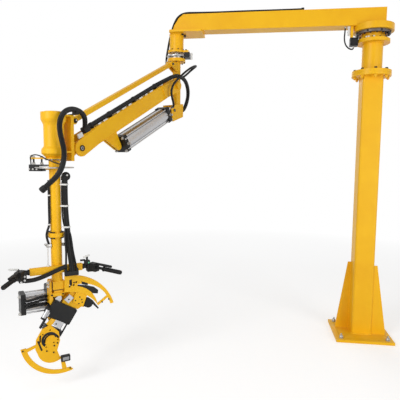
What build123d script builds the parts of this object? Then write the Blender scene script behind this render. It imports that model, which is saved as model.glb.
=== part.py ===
from math import cos, radians, sin, tan
import os
from build123d import *

# Column-mounted manipulator arm. Millimetres, +Z up, boom along -X, operator's side -Y.
# The origin is the middle of the base plate on the floor.

# Clearances
running = 0.05
seat = 0.3
free = 5

# Foot and column
plate_side, plate_t = 510, 25
anchor_pitch, anchor_hole = 410, 22
column_side, column_wall, column_corner = 180, 8, 20
column_top = 2408
gusset_h, gusset_t, gusset_foot, gusset_head = 655, 12, 125, 30
flange_d, flange_t = 340, 25
flange_bolts, flange_pcd, flange_hole = 8, 290, 18
pipe_d, pipe_wall, pipe_h = 177.8, 8, 243
head_flange_d, head_flange_t = 290, 30
hub_d, hub_h = 200, 49
race_d, race_h = 236, 15

# Boom
slew_caliper_x, slew_caliper_y = -175, -40
slew_caliper_l, slew_caliper_w, slew_caliper_h = 70, 60, 70
ring_d, ring_h, ring_drop = 300, 24, 4
table_d, table_h, pocket_floor = 350, 56, 48
beam_side, beam_wall = 150, 6
beam_tail = 90
beam_nose, beam_slope = 1822, 105
vent_d = 12
elbow_x = -1800
elbow_plate_w, elbow_plate_t = 250, 20
elbow_plate_out, elbow_plate_in = 1852, 1540
spigot_d, spigot_wall, spigot_h = 133, 8, 148
spigot_flange_d, spigot_flange_t = 166, 20
tongue_w, tongue_reach = 80, 120
elbow_shaft_d = 60
disc_t = 8
elbow_disc_d, elbow_disc_drop = 190, 30
elbow_caliper_in, elbow_caliper_out, elbow_caliper_w = 76, 133, 90

# Head under the elbow
post_d = 76
head_plate_d, head_plate_t, head_plate_gap = 170, 30, 55
arm_turn, arm_dip, arm_length = 65.6, 27.4, 1345
pivot_out, pivot_z = 69, 2344.5
link_out, link_up = 36, 195
boss_d, boss_w = 80, 90
main_pin_d, tie_pin_d = 40, 20
lug_t, lug_r, lug_gap = 10, 26, 0.5
bracket_t = 8
bracket_rise, bracket_fall = 74, 50

# Arm
arm_h, arm_w, arm_wall = 124, 110, 6
arm_rise = 15
cheek_r, cheek_run = 61, 60
box_start, box_end = 200, 1180
doubler_t, doubler_l = 6, 230
tie_h, tie_w, tie_wall, tie_eye_r = 36, 40, 3, 22
conduit_d, conduit_rise, conduit_w = 36, 23, 30

# Balancing cylinder
lift_pivot = (835, 1750)
lift_eye = (100, 2110)
tang_t, tang_r = 23, 24
lift_pin_d = 24
cap_side, rear_cap, front_cap = 140, 40, 40
cap_start, rod_shown = 38, 98.4
barrel_d, barrel_bore = 134, 125
tie_bolt_d, tie_bolt_pitch = 12, 112
rod_d, eye_r, eye_t = 32, 28, 30
piston_t = 30
rod_in_barrel = 300

# Knuckle and wrist
web_gap, web_t, web_w = 93, 12, 140
web_h, web_drop = 322, 93.5
drop_reach = 198
housing_r, housing_waist = 85, 68
housing_h, housing_drop = 311, 70.5
wrist_shaft_d = 60
wrist_disc_d, wrist_disc_gap = 262, 64
wrist_caliper_x, wrist_caliper_l, wrist_caliper_w = -128, 98, 70
neck_d = 78
caliper_post_d, caliper_post_x = 12, (-94, -154)

# Drop tube, handlebar and hinge
drop_d, drop_wall, drop_low = 76, 5, 783
collar_d, collar_z, collar_h = 114, 1100, 30
handle_turn = 38
bar_len, bar_h, bar_t, bar_z, bar_shift = 357, 50, 25, 875, -13
grip_d, grip_rod_d, grip_len = 28, 20, 150
grip_stub, grip_bend_r = 42, 24
grip_out, grip_forward, grip_fall = 147, 276, 4
control_start, control_l, lever_l = 30, 62, 150
hinge_top, hinge_low = 783, 675
tilt_h, tilt_z = 22, 560
tilt_shaft_d = 40
tool_tilt = 32
tilt_axis_z, tilt_axis_o = 610, -128
tilt_barrel_d, tilt_barrel_wall, tilt_barrel_l = 130, 6, 144
tilt_cap_h, tilt_cap_w, tilt_cap_l, tilt_cap_h0 = 150, 124, 34, -238

# Gripper, in its own tilted plane: x across, y up along the axis from the tilt shaft
jaw_back, jaw_t = 46, 10
hood_left, hood_right, hood_low, hood_high = -92, 95, -70, 52
guide_d, guide_x = 20, (-30, 60)

elbow = Vector(elbow_x, 0, 0)
arm_out = Vector(-cos(radians(arm_turn)), -sin(radians(arm_turn)), 0)
arm_side = Vector(sin(radians(arm_turn)), -cos(radians(arm_turn)), 0)
up = Vector(0, 0, 1)
arm_slope = arm_out * cos(radians(arm_dip)) - up * sin(radians(arm_dip))
low_out = pivot_out + arm_length * cos(radians(arm_dip))
low_z = pivot_z - arm_length * sin(radians(arm_dip))
web_low, housing_low = low_z - web_drop, low_z - housing_drop
web_high, housing_high = web_low + web_h, housing_low + housing_h
drop_out = low_out + drop_reach
drop_foot = elbow + arm_out * drop_out
handle_out = Vector(cos(radians(handle_turn)), sin(radians(handle_turn)), 0)
handle_front = Vector(sin(radians(handle_turn)), -cos(radians(handle_turn)), 0)
tool_across = handle_out * cos(radians(tool_tilt)) - up * sin(radians(tool_tilt))
tool_centre = drop_foot + handle_out * tilt_h + up * tilt_z
lift_line = (arm_out * (lift_eye[0] - lift_pivot[0]) + up * (lift_eye[1] - lift_pivot[1])).normalized()
lift_length = Vector(lift_eye[0] - lift_pivot[0], lift_eye[1] - lift_pivot[1], 0).length
lift_root = elbow + arm_out * lift_pivot[0] + up * lift_pivot[1]


def side(w=0):
    """The arm's upright plane, w nearer the operator: x out from the elbow axis, y the height."""
    return Plane(origin=elbow + arm_side * w, x_dir=arm_out, z_dir=arm_side * -1)


def along(w=0, out=pivot_out, height=pivot_z):
    """The same plane turned down the arm's slope, from a pivot."""
    start = elbow + arm_out * out + up * height + arm_side * w
    return Plane(origin=start, x_dir=arm_slope, z_dir=arm_side * -1)


def round_lift(d):
    """A plane square to the balancing cylinder, d from its lower pivot."""
    return Plane(origin=lift_root + lift_line * d, x_dir=arm_side, z_dir=lift_line)


def front(o=0):
    """The handlebar's upright plane: x along the bar, y the height, o nearer the operator."""
    return Plane(origin=drop_foot + handle_front * o, x_dir=handle_out, z_dir=handle_front)


def tool(o=0):
    """The gripper's tilted plane, from the tilt shaft."""
    return Plane(origin=tool_centre + handle_front * o, x_dir=tool_across, z_dir=handle_front)


def elbow_level(z):
    return Plane(origin=elbow + up * z, x_dir=arm_out, z_dir=up)


def drop_level(z):
    return Plane(origin=drop_foot + up * z, x_dir=handle_out, z_dir=up)


def on_arm(points):
    """Places (w, out, height) of the arm's plane."""
    return [elbow + arm_side * w + arm_out * out + up * z for w, out, z in points]


def on_knuckle(points):
    """Places (w, out, height) about the arm's lower pivot."""
    return on_arm([(w, low_out + out, low_z + z) for w, out, z in points])


def on_drop(points):
    """Places (along the bar, toward the operator, height) about the drop tube."""
    return [drop_foot + handle_out * h + handle_front * o + up * z for h, o, z in points]


def hose(name, points, diameter, share=0.45):
    """A tube of straight runs and tangent arcs."""
    points = [Vector(*point) for point in points]
    runs = [after - before for before, after in zip(points, points[1:])]
    radii = []
    for before, after in zip(runs, runs[1:]):
        shorter = min(before.length, after.length)
        radii.append(share * shorter / tan(radians(before.get_angle(after)) / 2))
    print(name, "bend radii", [round(radius) for radius in radii])
    with BuildPart() as tube:
        with BuildLine():
            FilletPolyline(*points, radius=radii)
        with BuildSketch(Plane(origin=points[0], z_dir=runs[0])):
            Circle(diameter / 2)
        sweep()
    return tube


parts = {}

# Base plate with its four anchor holes
with BuildPart() as base_plate:
    with BuildSketch():
        Rectangle(plate_side, plate_side)
        with GridLocations(anchor_pitch, anchor_pitch, 2, 2):
            Circle(anchor_hole / 2, mode=Mode.SUBTRACT)
    extrude(amount=plate_t)
parts["base_plate"] = base_plate

# Square column
with BuildPart() as column_tube:
    with BuildSketch(Plane.XY.offset(plate_t)):
        RectangleRounded(column_side, column_side, column_corner)
        inner_side = column_side - 2 * column_wall
        RectangleRounded(inner_side, inner_side, column_corner - column_wall, mode=Mode.SUBTRACT)
    extrude(amount=column_top - plate_t)
parts["column_tube"] = column_tube

# Foot gussets on the two faces in line with the boom, one near each corner
with BuildPart() as column_gussets:
    for way in (-1, 1):
        with BuildSketch(Plane.XZ.offset(way * (column_side / 2 - column_corner - gusset_t / 2))):
            with BuildLine():
                foot = column_side / 2 + gusset_foot
                head = column_side / 2 + gusset_head
                Polyline((way * column_side / 2, plate_t), (way * foot, plate_t),
                         (way * foot, plate_t + gusset_head), (way * head, plate_t + gusset_h),
                         (way * column_side / 2, plate_t + gusset_h), close=True)
            make_face()
        extrude(amount=gusset_t / 2, both=True)
parts["column_gussets"] = column_gussets

# Column flange
with BuildPart() as column_flange:
    with BuildSketch(Plane.XY.offset(column_top)):
        Circle(flange_d / 2)
        with PolarLocations(flange_pcd / 2, flange_bolts):
            Circle(flange_hole / 2, mode=Mode.SUBTRACT)
    extrude(amount=flange_t)
parts["column_flange"] = column_flange

# Pedestal pipe between its two flanges
pedestal_low = column_top + flange_t
head_flange_low = pedestal_low + flange_t + pipe_h
hub_low = head_flange_low + head_flange_t
with BuildPart() as pedestal:
    with BuildSketch(Plane.XY.offset(pedestal_low)):
        Circle(flange_d / 2)
        with PolarLocations(flange_pcd / 2, flange_bolts):
            Circle(flange_hole / 2, mode=Mode.SUBTRACT)
    extrude(amount=flange_t)
    with BuildSketch(Plane.XY.offset(pedestal_low + flange_t)):
        Circle(pipe_d / 2)
    extrude(amount=pipe_h)
    with BuildSketch(Plane.XY.offset(head_flange_low)):
        Circle(head_flange_d / 2)
    extrude(amount=head_flange_t)
    with BuildSketch(Plane.XY.offset(pedestal_low)):
        Circle(pipe_d / 2 - pipe_wall)
    extrude(amount=flange_t + pipe_h, mode=Mode.SUBTRACT)
parts["pedestal"] = pedestal

# Hub with the slewing bearing's inner race
race_low = hub_low + hub_h
with BuildPart() as slewing_hub:
    with BuildSketch(Plane.XY.offset(hub_low)):
        Circle(hub_d / 2)
    extrude(amount=hub_h)
    with BuildSketch(Plane.XY.offset(race_low)):
        Circle(race_d / 2)
    extrude(amount=race_h)
parts["slewing_hub"] = slewing_hub

# Outer race, turning on the hub
ring_low = race_low - ring_drop
table_low = ring_low + ring_h
with BuildPart() as slewing_ring:
    with BuildSketch(Plane.XY.offset(ring_low)):
        Circle(ring_d / 2)
        Circle(race_d / 2 + seat, mode=Mode.SUBTRACT)
    extrude(amount=ring_h)
parts["slewing_ring"] = slewing_ring

# Turntable with the pocket that the beam lies in
beam_low = table_low + pocket_floor
with BuildPart() as boom_turntable:
    with BuildSketch(Plane.XY.offset(table_low)):
        Circle(table_d / 2)
    extrude(amount=table_h)
    pocket_end = beam_tail + seat
    with BuildSketch(Plane.XY.offset(beam_low)):
        with Locations((pocket_end - table_d / 2, 0)):
            Rectangle(table_d, beam_side + 2 * seat)
    extrude(amount=table_h, mode=Mode.SUBTRACT)
parts["boom_turntable"] = boom_turntable

# Beam with its sloped nose, closed at both ends
with BuildPart() as boom_beam:
    with BuildSketch(Plane.XZ):
        with BuildLine():
            Polyline((beam_tail, beam_low), (-beam_nose, beam_low),
                     (-beam_nose + beam_slope * 0.12, beam_low + 45),
                     (-beam_nose + beam_slope * 0.55, beam_low + beam_side - 35),
                     (-beam_nose + beam_slope, beam_low + beam_side),
                     (beam_tail, beam_low + beam_side), close=True)
        make_face()
    extrude(amount=beam_side / 2, both=True)
    with BuildSketch(Plane.XZ):
        with BuildLine():
            Polyline((beam_tail - beam_wall, beam_low + beam_wall),
                     (-beam_nose + 2 * beam_wall, beam_low + beam_wall),
                     (-beam_nose + beam_slope + 2 * beam_wall, beam_low + beam_side - beam_wall),
                     (beam_tail - beam_wall, beam_low + beam_side - beam_wall), close=True)
        make_face()
    extrude(amount=beam_side / 2 - beam_wall, both=True, mode=Mode.SUBTRACT)
    with BuildSketch(Plane.YZ.offset(beam_tail)):
        with Locations((0, beam_low + beam_side / 2)):
            Circle(vent_d / 2)
    extrude(amount=-2 * beam_wall, mode=Mode.SUBTRACT)
parts["boom_beam"] = boom_beam

# Plate under the beam's nose
elbow_plate_low = beam_low - elbow_plate_t
with BuildPart() as elbow_plate:
    with BuildSketch(Plane.XY.offset(elbow_plate_low)):
        with Locations((-(elbow_plate_out + elbow_plate_in) / 2, 0)):
            RectangleRounded(elbow_plate_out - elbow_plate_in, elbow_plate_w, 20)
    extrude(amount=elbow_plate_t)
parts["elbow_plate"] = elbow_plate

# Spigot pipe and its flange, bored for the elbow shaft
spigot_low = elbow_plate_low - spigot_h
spigot_flange_low = spigot_low - spigot_flange_t
with BuildPart() as elbow_spigot:
    with BuildSketch(elbow_level(spigot_low)):
        Circle(spigot_d / 2)
        Circle(spigot_d / 2 - spigot_wall, mode=Mode.SUBTRACT)
    extrude(amount=spigot_h)
    with BuildSketch(elbow_level(spigot_flange_low)):
        Circle(spigot_flange_d / 2)
        Circle(elbow_shaft_d / 2 + running, mode=Mode.SUBTRACT)
    extrude(amount=spigot_flange_t)
    with BuildSketch(Plane.XY.offset(spigot_flange_low)):
        with Locations((elbow_x + (spigot_d / 2 + tongue_reach) / 2, 0)):
            Rectangle(tongue_reach - spigot_d / 2, tongue_w)
    extrude(amount=spigot_flange_t)
parts["elbow_spigot"] = elbow_spigot

# Elbow disc with its shaft, hung from a collar above the flange
elbow_disc_low = spigot_flange_low - elbow_disc_drop - disc_t
head_plate_low = spigot_flange_low - head_plate_gap - head_plate_t
head_plate_high = head_plate_low + head_plate_t
with BuildPart() as elbow_disc:
    with BuildSketch(elbow_level(head_plate_high + seat)):
        Circle(elbow_shaft_d)
    extrude(amount=elbow_disc_low - head_plate_high - seat)
    with BuildSketch(elbow_level(elbow_disc_low)):
        Circle(elbow_disc_d / 2)
    extrude(amount=disc_t)
    with BuildSketch(elbow_level(elbow_disc_low)):
        Circle(elbow_shaft_d / 2)
    extrude(amount=spigot_low - elbow_disc_low + 50)
    with BuildSketch(elbow_level(spigot_low + seat)):
        Circle(elbow_shaft_d / 2 + 15)
    extrude(amount=20)
parts["elbow_disc"] = elbow_disc

# Brake caliper round the elbow disc, on the spigot's flange
with BuildPart() as elbow_brake:
    caliper_low = head_plate_high + free
    with BuildSketch(Plane.XY.offset(caliper_low)):
        with Locations((elbow_x + (elbow_caliper_in + elbow_caliper_out) / 2, 0)):
            RectangleRounded(elbow_caliper_out - elbow_caliper_in, elbow_caliper_w, 8)
    extrude(amount=spigot_flange_low - seat - caliper_low)
    with BuildSketch(elbow_level(elbow_disc_low - 4)):
        Circle(elbow_disc_d / 2 + free)
    extrude(amount=disc_t + 8, mode=Mode.SUBTRACT)
parts["elbow_brake"] = elbow_brake

# Brake caliper round the pedestal's head flange, hung from the beam
slew_caliper_low = head_flange_low - 26
with BuildPart() as slew_brake:
    with BuildSketch(Plane.XY.offset(slew_caliper_low)):
        with Locations((slew_caliper_x, slew_caliper_y)):
            RectangleRounded(slew_caliper_l, slew_caliper_w, 8)
    extrude(amount=slew_caliper_h)
    with BuildSketch(Plane.XY.offset(head_flange_low - free)):
        Circle(head_flange_d / 2 + free)
    extrude(amount=head_flange_t + 2 * free, mode=Mode.SUBTRACT)
    with BuildSketch(Plane.XY.offset(head_flange_low + head_flange_t)):
        with Locations((slew_caliper_x - 20, slew_caliper_y)):
            Rectangle(20, 30)
    extrude(amount=beam_low - head_flange_low - head_flange_t)
parts["slew_brake"] = slew_brake

parts["slew_hose"] = hose("slew_hose", [
    (-252, -40, beam_low - seat), (-254, -41, 2794), (-258, -42, 2742), (-248, -42, 2694),
    (-224, -41, 2662), (-196, -40, 2648), (slew_caliper_x, slew_caliper_y, 2650),
    (slew_caliper_x, slew_caliper_y, slew_caliper_low - seat)], 12)

hose_z = beam_low + beam_side + 10 + seat
parts["boom_hose"] = hose("boom_hose", [
    (-640, -52, hose_z), (-900, -50, hose_z), (-1160, -57, hose_z), (-1400, -51, hose_z),
    (-1600, -56, 3010), (-1720, -54, 3014), (-1784, -46, 2980), (-1826, -8, 2926), (-1861, 58, 2880),
    (-1877, 66, 2831), (-1886, 58, 2780), (-1896, 44, 2706), (-1908, 44, 2640), (-1911, 38, 2590)], 20)

# Head plate and post with the arm's pivot boss and the tie rod's lugs
post_end = lift_eye[1] - bracket_fall + 15
with BuildPart() as head_post:
    with BuildSketch(elbow_level(head_plate_low)):
        Circle(head_plate_d / 2)
    extrude(amount=head_plate_t)
    with BuildSketch(elbow_level(post_end)):
        Circle(post_d / 2)
    extrude(amount=head_plate_low - post_end)
    with BuildSketch(side()):
        with Locations((pivot_out, pivot_z)):
            Circle(boss_d / 2)
        with Locations((pivot_out / 2, pivot_z)):
            Rectangle(pivot_out, boss_d)
    extrude(amount=boss_w / 2, both=True)
    with BuildSketch(side()):
        with Locations((pivot_out, pivot_z)):
            Circle(main_pin_d / 2 + seat)
    extrude(amount=boss_w, both=True, mode=Mode.SUBTRACT)
    tie_out, tie_z = pivot_out + link_out, pivot_z + link_up
    lug_in = tie_w / 2 + lug_gap
    for w in (lug_in + lug_t, -lug_in):
        with BuildSketch(side(w)):
            with Locations((tie_out, tie_z)):
                Circle(lug_r)
            with Locations(((tie_out + 20) / 2, tie_z - lug_r / 2)):
                Rectangle(tie_out - 20, lug_r)
            with BuildLine():
                Polyline((20, tie_z + lug_r), (tie_out, tie_z + lug_r), (tie_out, tie_z - lug_r),
                         (20, tie_z - lug_r - 40), close=True)
            make_face()
            with Locations((tie_out, tie_z)):
                Circle(tie_pin_d / 2 + seat, mode=Mode.SUBTRACT)
        extrude(amount=lug_t)
parts["head_post"] = head_post

# Bracket at the post's foot for the cylinder's rod eye
bracket_in = post_d / 2 + seat
bracket_back = -bracket_in - bracket_t
bracket_high, bracket_low = lift_eye[1] + bracket_rise, lift_eye[1] - bracket_fall
with BuildPart() as cylinder_bracket:
    for w in (bracket_in + bracket_t, -bracket_in):
        with BuildSketch(side(w)):
            with BuildLine():
                Polyline((bracket_back, bracket_high), (lift_eye[0] + 55, bracket_high - 30),
                         (lift_eye[0] + 19, bracket_low - 56), (bracket_back, bracket_low), close=True)
            make_face()
            with Locations(lift_eye):
                Circle(lift_pin_d / 2 + seat, mode=Mode.SUBTRACT)
        extrude(amount=bracket_t)
    with BuildSketch(side(bracket_in)):
        with BuildLine():
            Polyline((bracket_back, bracket_high), (-bracket_in, bracket_high), (-bracket_in, bracket_low + 6),
                     (bracket_in, bracket_low - 20), (bracket_in, bracket_low - 29), (bracket_back, bracket_low),
                     close=True)
        make_face()
    extrude(amount=2 * bracket_in)
parts["cylinder_bracket"] = cylinder_bracket

# Pins of the head: main pivot, tie rod, and two stubs beside the rod eye
pin_reach = arm_w / 2 + doubler_t + free
with BuildPart() as head_pins:
    with BuildSketch(side(arm_w / 2 + doubler_t)):
        with Locations((pivot_out, pivot_z)):
            Circle(main_pin_d / 2)
    extrude(amount=arm_w / 2 + doubler_t + pin_reach)
    with BuildSketch(side(lug_in + lug_t + free)):
        with Locations((tie_out, tie_z)):
            Circle(tie_pin_d / 2)
    extrude(amount=2 * (lug_in + lug_t + free))
    stub_in = eye_t / 2 + free
    for w in (bracket_in + bracket_t + free, -stub_in):
        with BuildSketch(side(w)):
            with Locations(lift_eye):
                Circle(lift_pin_d / 2)
        extrude(amount=bracket_in + bracket_t + free - stub_in)
parts["head_pins"] = head_pins

parts["elbow_loop"] = hose("elbow_loop", on_arm([
    (86, 240, 2379), (87, 175, 2408), (85, 105, 2425), (80, 32, 2424), (66, -38, 2412), (44, -105, 2390),
    (24, -160, 2346), (10, -186, 2290), (2, -180, 2230), (1, -145, 2165), (0, -98, 2120),
    (0, bracket_back - seat, 2120)]), conduit_d)

parts["head_hose"] = hose("head_hose", on_arm([
    (bracket_in + bracket_t + seat, 140, 2136), (68, 140, 2136), (88, 172, 2168), (106, 226, 2226),
    (112, 238, 2276), (115, 212, 2330), (120, 152, 2384), (124, 88, 2432), (126, 20, 2478), (126, -60, 2524),
    (120, -140, 2556), (100, -196, 2566), (64, -204, 2552), (36, -180, 2520), (16, -130, 2472), (0, -84, 2442),
    (0, -post_d / 2 - 1.5, 2442)]), 20)

# Box arm whose side walls run on as cheeks round both pivots
arm_top = arm_rise + arm_h / 2
arm_low = arm_rise - arm_h / 2
with BuildPart() as arm_tube:
    for w in (arm_w / 2, -arm_w / 2 + arm_wall):
        with BuildSketch(along(w)):
            with BuildLine():
                Polyline((0, cheek_r), (cheek_run, arm_top), (arm_length - cheek_run, arm_top),
                         (arm_length, cheek_r), (arm_length, -cheek_r), (arm_length - cheek_run, arm_low),
                         (cheek_run, arm_low), (0, -cheek_r), close=True)
            make_face()
            with Locations((0, 0), (arm_length, 0)):
                Circle(cheek_r)
        extrude(amount=arm_wall)
    for w in (arm_w / 2 + doubler_t, -arm_w / 2):
        with BuildSketch(along(w)):
            with Locations((0, 0), (arm_length, 0)):
                Circle(cheek_r - 1)
            for start, end in ((0, doubler_l), (arm_length, arm_length - doubler_l + 20)):
                with BuildLine():
                    Polyline((start, cheek_r - 1), (end, arm_top - 4), (end, arm_low + 4),
                             (start, -cheek_r + 1), close=True)
                make_face()
        extrude(amount=doubler_t)
    with BuildSketch(along()):
        for t in (arm_top - arm_wall / 2, arm_low + arm_wall / 2):
            with Locations(((box_start + box_end) / 2, t)):
                Rectangle(box_end - box_start, arm_wall)
    extrude(amount=arm_w / 2, both=True)
    with BuildSketch(along()):
        with Locations((0, 0), (arm_length, 0)):
            Circle(main_pin_d / 2 + running)
    extrude(amount=arm_w, both=True, mode=Mode.SUBTRACT)
parts["arm_tube"] = arm_tube

# Round cap over the main pivot
with BuildPart() as pivot_cap:
    with BuildSketch(along(arm_w / 2 + doubler_t + seat)):
        Circle(34)
    extrude(amount=-22)
    fillet(pivot_cap.faces().sort_by(Axis(elbow, arm_side))[-1].edges(), 4)
parts["pivot_cap"] = pivot_cap

# Clips for the conduit on the arm's top, and the stop block at its outer end
conduit_t = arm_top + conduit_rise
conduit_start, conduit_end = 130, 1205
with BuildPart() as conduit_clips:
    for s in (300, 620, 940, 1160):
        with BuildSketch(Plane(origin=along(conduit_w).origin + arm_slope * (s - 10),
                               x_dir=arm_side, z_dir=arm_slope)):
            with Locations((0, conduit_t)):
                Circle(conduit_d / 2 + seat + 3)
            with Locations((0, arm_top + seat + 4)):
                Rectangle(34, 8)
            with Locations((0, conduit_t)):
                Circle(conduit_d / 2 + seat, mode=Mode.SUBTRACT)
        extrude(amount=20)
    stop_in, stop_out = arm_length - cheek_run + 6, arm_length - 10
    cheek_fall = (arm_top - cheek_r) / cheek_run
    with BuildSketch(along(arm_w / 2 + doubler_t)):
        with BuildLine():
            Polyline((stop_in, arm_top - 6 * cheek_fall + 2 * seat), (stop_in, arm_top + 24),
                     (stop_out, arm_top + 24), (stop_out, arm_top - (cheek_run - 10) * cheek_fall + 2 * seat),
                     close=True)
        make_face()
    extrude(amount=arm_wall + doubler_t)
parts["conduit_clips"] = conduit_clips

# Conduit, straight between its clips
with BuildPart() as arm_conduit:
    with BuildSketch(Plane(origin=along(conduit_w).origin + arm_slope * conduit_start + along().y_dir * conduit_t,
                           x_dir=arm_side, z_dir=arm_slope)):
        Circle(conduit_d / 2)
    extrude(amount=conduit_end - conduit_start)
parts["arm_conduit"] = arm_conduit

# Gusset plates under the arm that hold the cylinder's lower pivot
lift_s = (lift_root - along().origin).dot(arm_slope)
lift_t = (lift_root - along().origin).dot(along().y_dir)
with BuildPart() as cylinder_gusset:
    for w in (tang_t / 2 + lug_gap + lug_t, -tang_t / 2 - lug_gap):
        with BuildSketch(along(w)):
            with BuildLine():
                Polyline((lift_s - 30, arm_low), (lift_s + 122, arm_low), (lift_s + 26, lift_t - 16),
                         (lift_s - 30, lift_t), close=True)
            make_face()
            with Locations((lift_s, lift_t)):
                Circle(30)
        extrude(amount=lug_t)
    with BuildSketch(along(tang_t / 2 + lug_t + free)):
        with Locations((lift_s, lift_t)):
            Circle(lift_pin_d / 2)
    extrude(amount=tang_t + 2 * lug_t + 2 * free)
parts["cylinder_gusset"] = cylinder_gusset

# Tie rod of the parallelogram
with BuildPart() as tie_rod:
    with BuildSketch(along(tie_w / 2, tie_out, tie_z)):
        with Locations((0, 0), (arm_length, 0)):
            Circle(tie_eye_r)
        with Locations((arm_length / 2, 0)):
            Rectangle(arm_length, tie_h)
        with Locations((0, 0), (arm_length, 0)):
            Circle(tie_pin_d / 2 + running, mode=Mode.SUBTRACT)
    extrude(amount=tie_w)
    with BuildSketch(along(tie_w / 2 - tie_wall, tie_out, tie_z)):
        with Locations((arm_length / 2, 0)):
            Rectangle(arm_length - 80, tie_h - 2 * tie_wall)
    extrude(amount=tie_w - 2 * tie_wall, mode=Mode.SUBTRACT)
    with BuildSketch(Plane(origin=along(0, tie_out, tie_z).origin, x_dir=arm_slope,
                           z_dir=along().y_dir * -1)):
        with Locations((60, 0), (arm_length - 60, 0)):
            Circle(4)
    extrude(amount=tie_h, mode=Mode.SUBTRACT)
parts["tie_rod"] = tie_rod

# Knuckle: web with side flanges, top and bottom plates, arm boss and tie lugs
web_out = low_out + web_gap
low_tie_out, low_tie_z = low_out + link_out, low_z + link_up
with BuildPart() as knuckle_bracket:
    with BuildSketch(side()):
        with Locations((web_out + web_t / 2, (web_low + web_high) / 2)):
            Rectangle(web_t, web_high - web_low)
        for z in (web_high - web_t, housing_low + 35):
            with Locations(((web_out + drop_out) / 2, z + web_t / 2)):
                Rectangle(drop_out - web_out, web_t)
    extrude(amount=web_w / 2, both=True)
    for w in (web_w / 2, -web_w / 2 + web_t - 2):
        with BuildSketch(side(w)):
            with Locations((web_out - 7, (web_low + web_high) / 2)):
                Rectangle(14, web_high - web_low)
        extrude(amount=web_t - 2)
    with BuildSketch(side()):
        with Locations((low_out, low_z)):
            Circle(boss_d / 2)
        with Locations(((low_out + web_out) / 2, low_z)):
            Rectangle(web_out - low_out, boss_d)
    extrude(amount=boss_w / 2, both=True)
    with BuildSketch(side()):
        with Locations((low_out, low_z)):
            Circle(main_pin_d / 2 + seat)
    extrude(amount=boss_w, both=True, mode=Mode.SUBTRACT)
    for w in (lug_in + lug_t, -lug_in):
        with BuildSketch(side(w)):
            with Locations((low_tie_out, low_tie_z)):
                Circle(lug_r)
            with Locations(((low_tie_out + web_out) / 2, low_tie_z)):
                Rectangle(web_out - low_tie_out, 2 * lug_r)
            with Locations((low_tie_out, low_tie_z)):
                Circle(tie_pin_d / 2 + seat, mode=Mode.SUBTRACT)
        extrude(amount=lug_t)
    with BuildSketch(drop_level(web_low)):
        Circle(housing_r + seat)
    extrude(amount=web_high - web_low, mode=Mode.SUBTRACT)
parts["knuckle_bracket"] = knuckle_bracket

# Swivel housing, waisted, bored for the wrist shaft and its collar
land_low, land_high = housing_low + 45, housing_high - 41
collar_r, collar_t = 42, 20
with BuildPart() as swivel_housing:
    with BuildSketch(Plane(origin=drop_foot, x_dir=arm_side, z_dir=arm_out)):
        with BuildLine():
            foot_r = 55
            base_edge = Line((0, housing_low), (foot_r, housing_low))
            Line((foot_r, housing_low), (housing_r, housing_low + 28))
            Line((housing_r, housing_low + 28), (housing_r, housing_low + 50))
            Spline((housing_r, housing_low + 50), (housing_waist, housing_low + 85),
                   tangents=((0, 1), (0, 1)))
            Line((housing_waist, housing_low + 85), (housing_waist, housing_high - 96))
            Spline((housing_waist, housing_high - 96), (housing_r, housing_high - 42),
                   tangents=((0, 1), (0, 1)))
            Line((housing_r, housing_high - 42), (housing_r, housing_high))
            Line((housing_r, housing_high), (0, housing_high))
            Line((0, housing_high), (0, housing_low))
        make_face()
    revolve(axis=Axis(drop_foot, up))
    with BuildSketch(drop_level(housing_low)):
        Circle(wrist_shaft_d / 2 + running)
    extrude(amount=land_high + 35 - housing_low, mode=Mode.SUBTRACT)
    with BuildSketch(drop_level(land_low)):
        Circle(50)
    extrude(amount=land_high - 25 - land_low, mode=Mode.SUBTRACT)
    with BuildSketch(drop_level(land_high)):
        Circle(collar_r + free)
    extrude(amount=35, mode=Mode.SUBTRACT)
parts["swivel_housing"] = swivel_housing

# Pins of the knuckle
with BuildPart() as knuckle_pins:
    with BuildSketch(side(pin_reach)):
        with Locations((low_out, low_z)):
            Circle(main_pin_d / 2)
    extrude(amount=2 * pin_reach)
    with BuildSketch(side(lug_in + lug_t + free)):
        with Locations((low_tie_out, low_tie_z)):
            Circle(tie_pin_d / 2)
    extrude(amount=2 * (lug_in + lug_t + free))
parts["knuckle_pins"] = knuckle_pins

# Plate under the housing that carries the wrist caliper
carrier_t = 10
carrier_low = housing_low - carrier_t
with BuildPart() as caliper_bracket:
    with BuildSketch(Plane(origin=drop_foot + up * carrier_low, x_dir=(1, 0, 0), z_dir=up)):
        Circle(70)
        with Locations((caliper_post_x[1] / 2 - 5, 0)):
            Rectangle(10 - caliper_post_x[1], 44)
        Circle(neck_d / 2 + free, mode=Mode.SUBTRACT)
    extrude(amount=carrier_t)
parts["caliper_bracket"] = caliper_bracket

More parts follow.
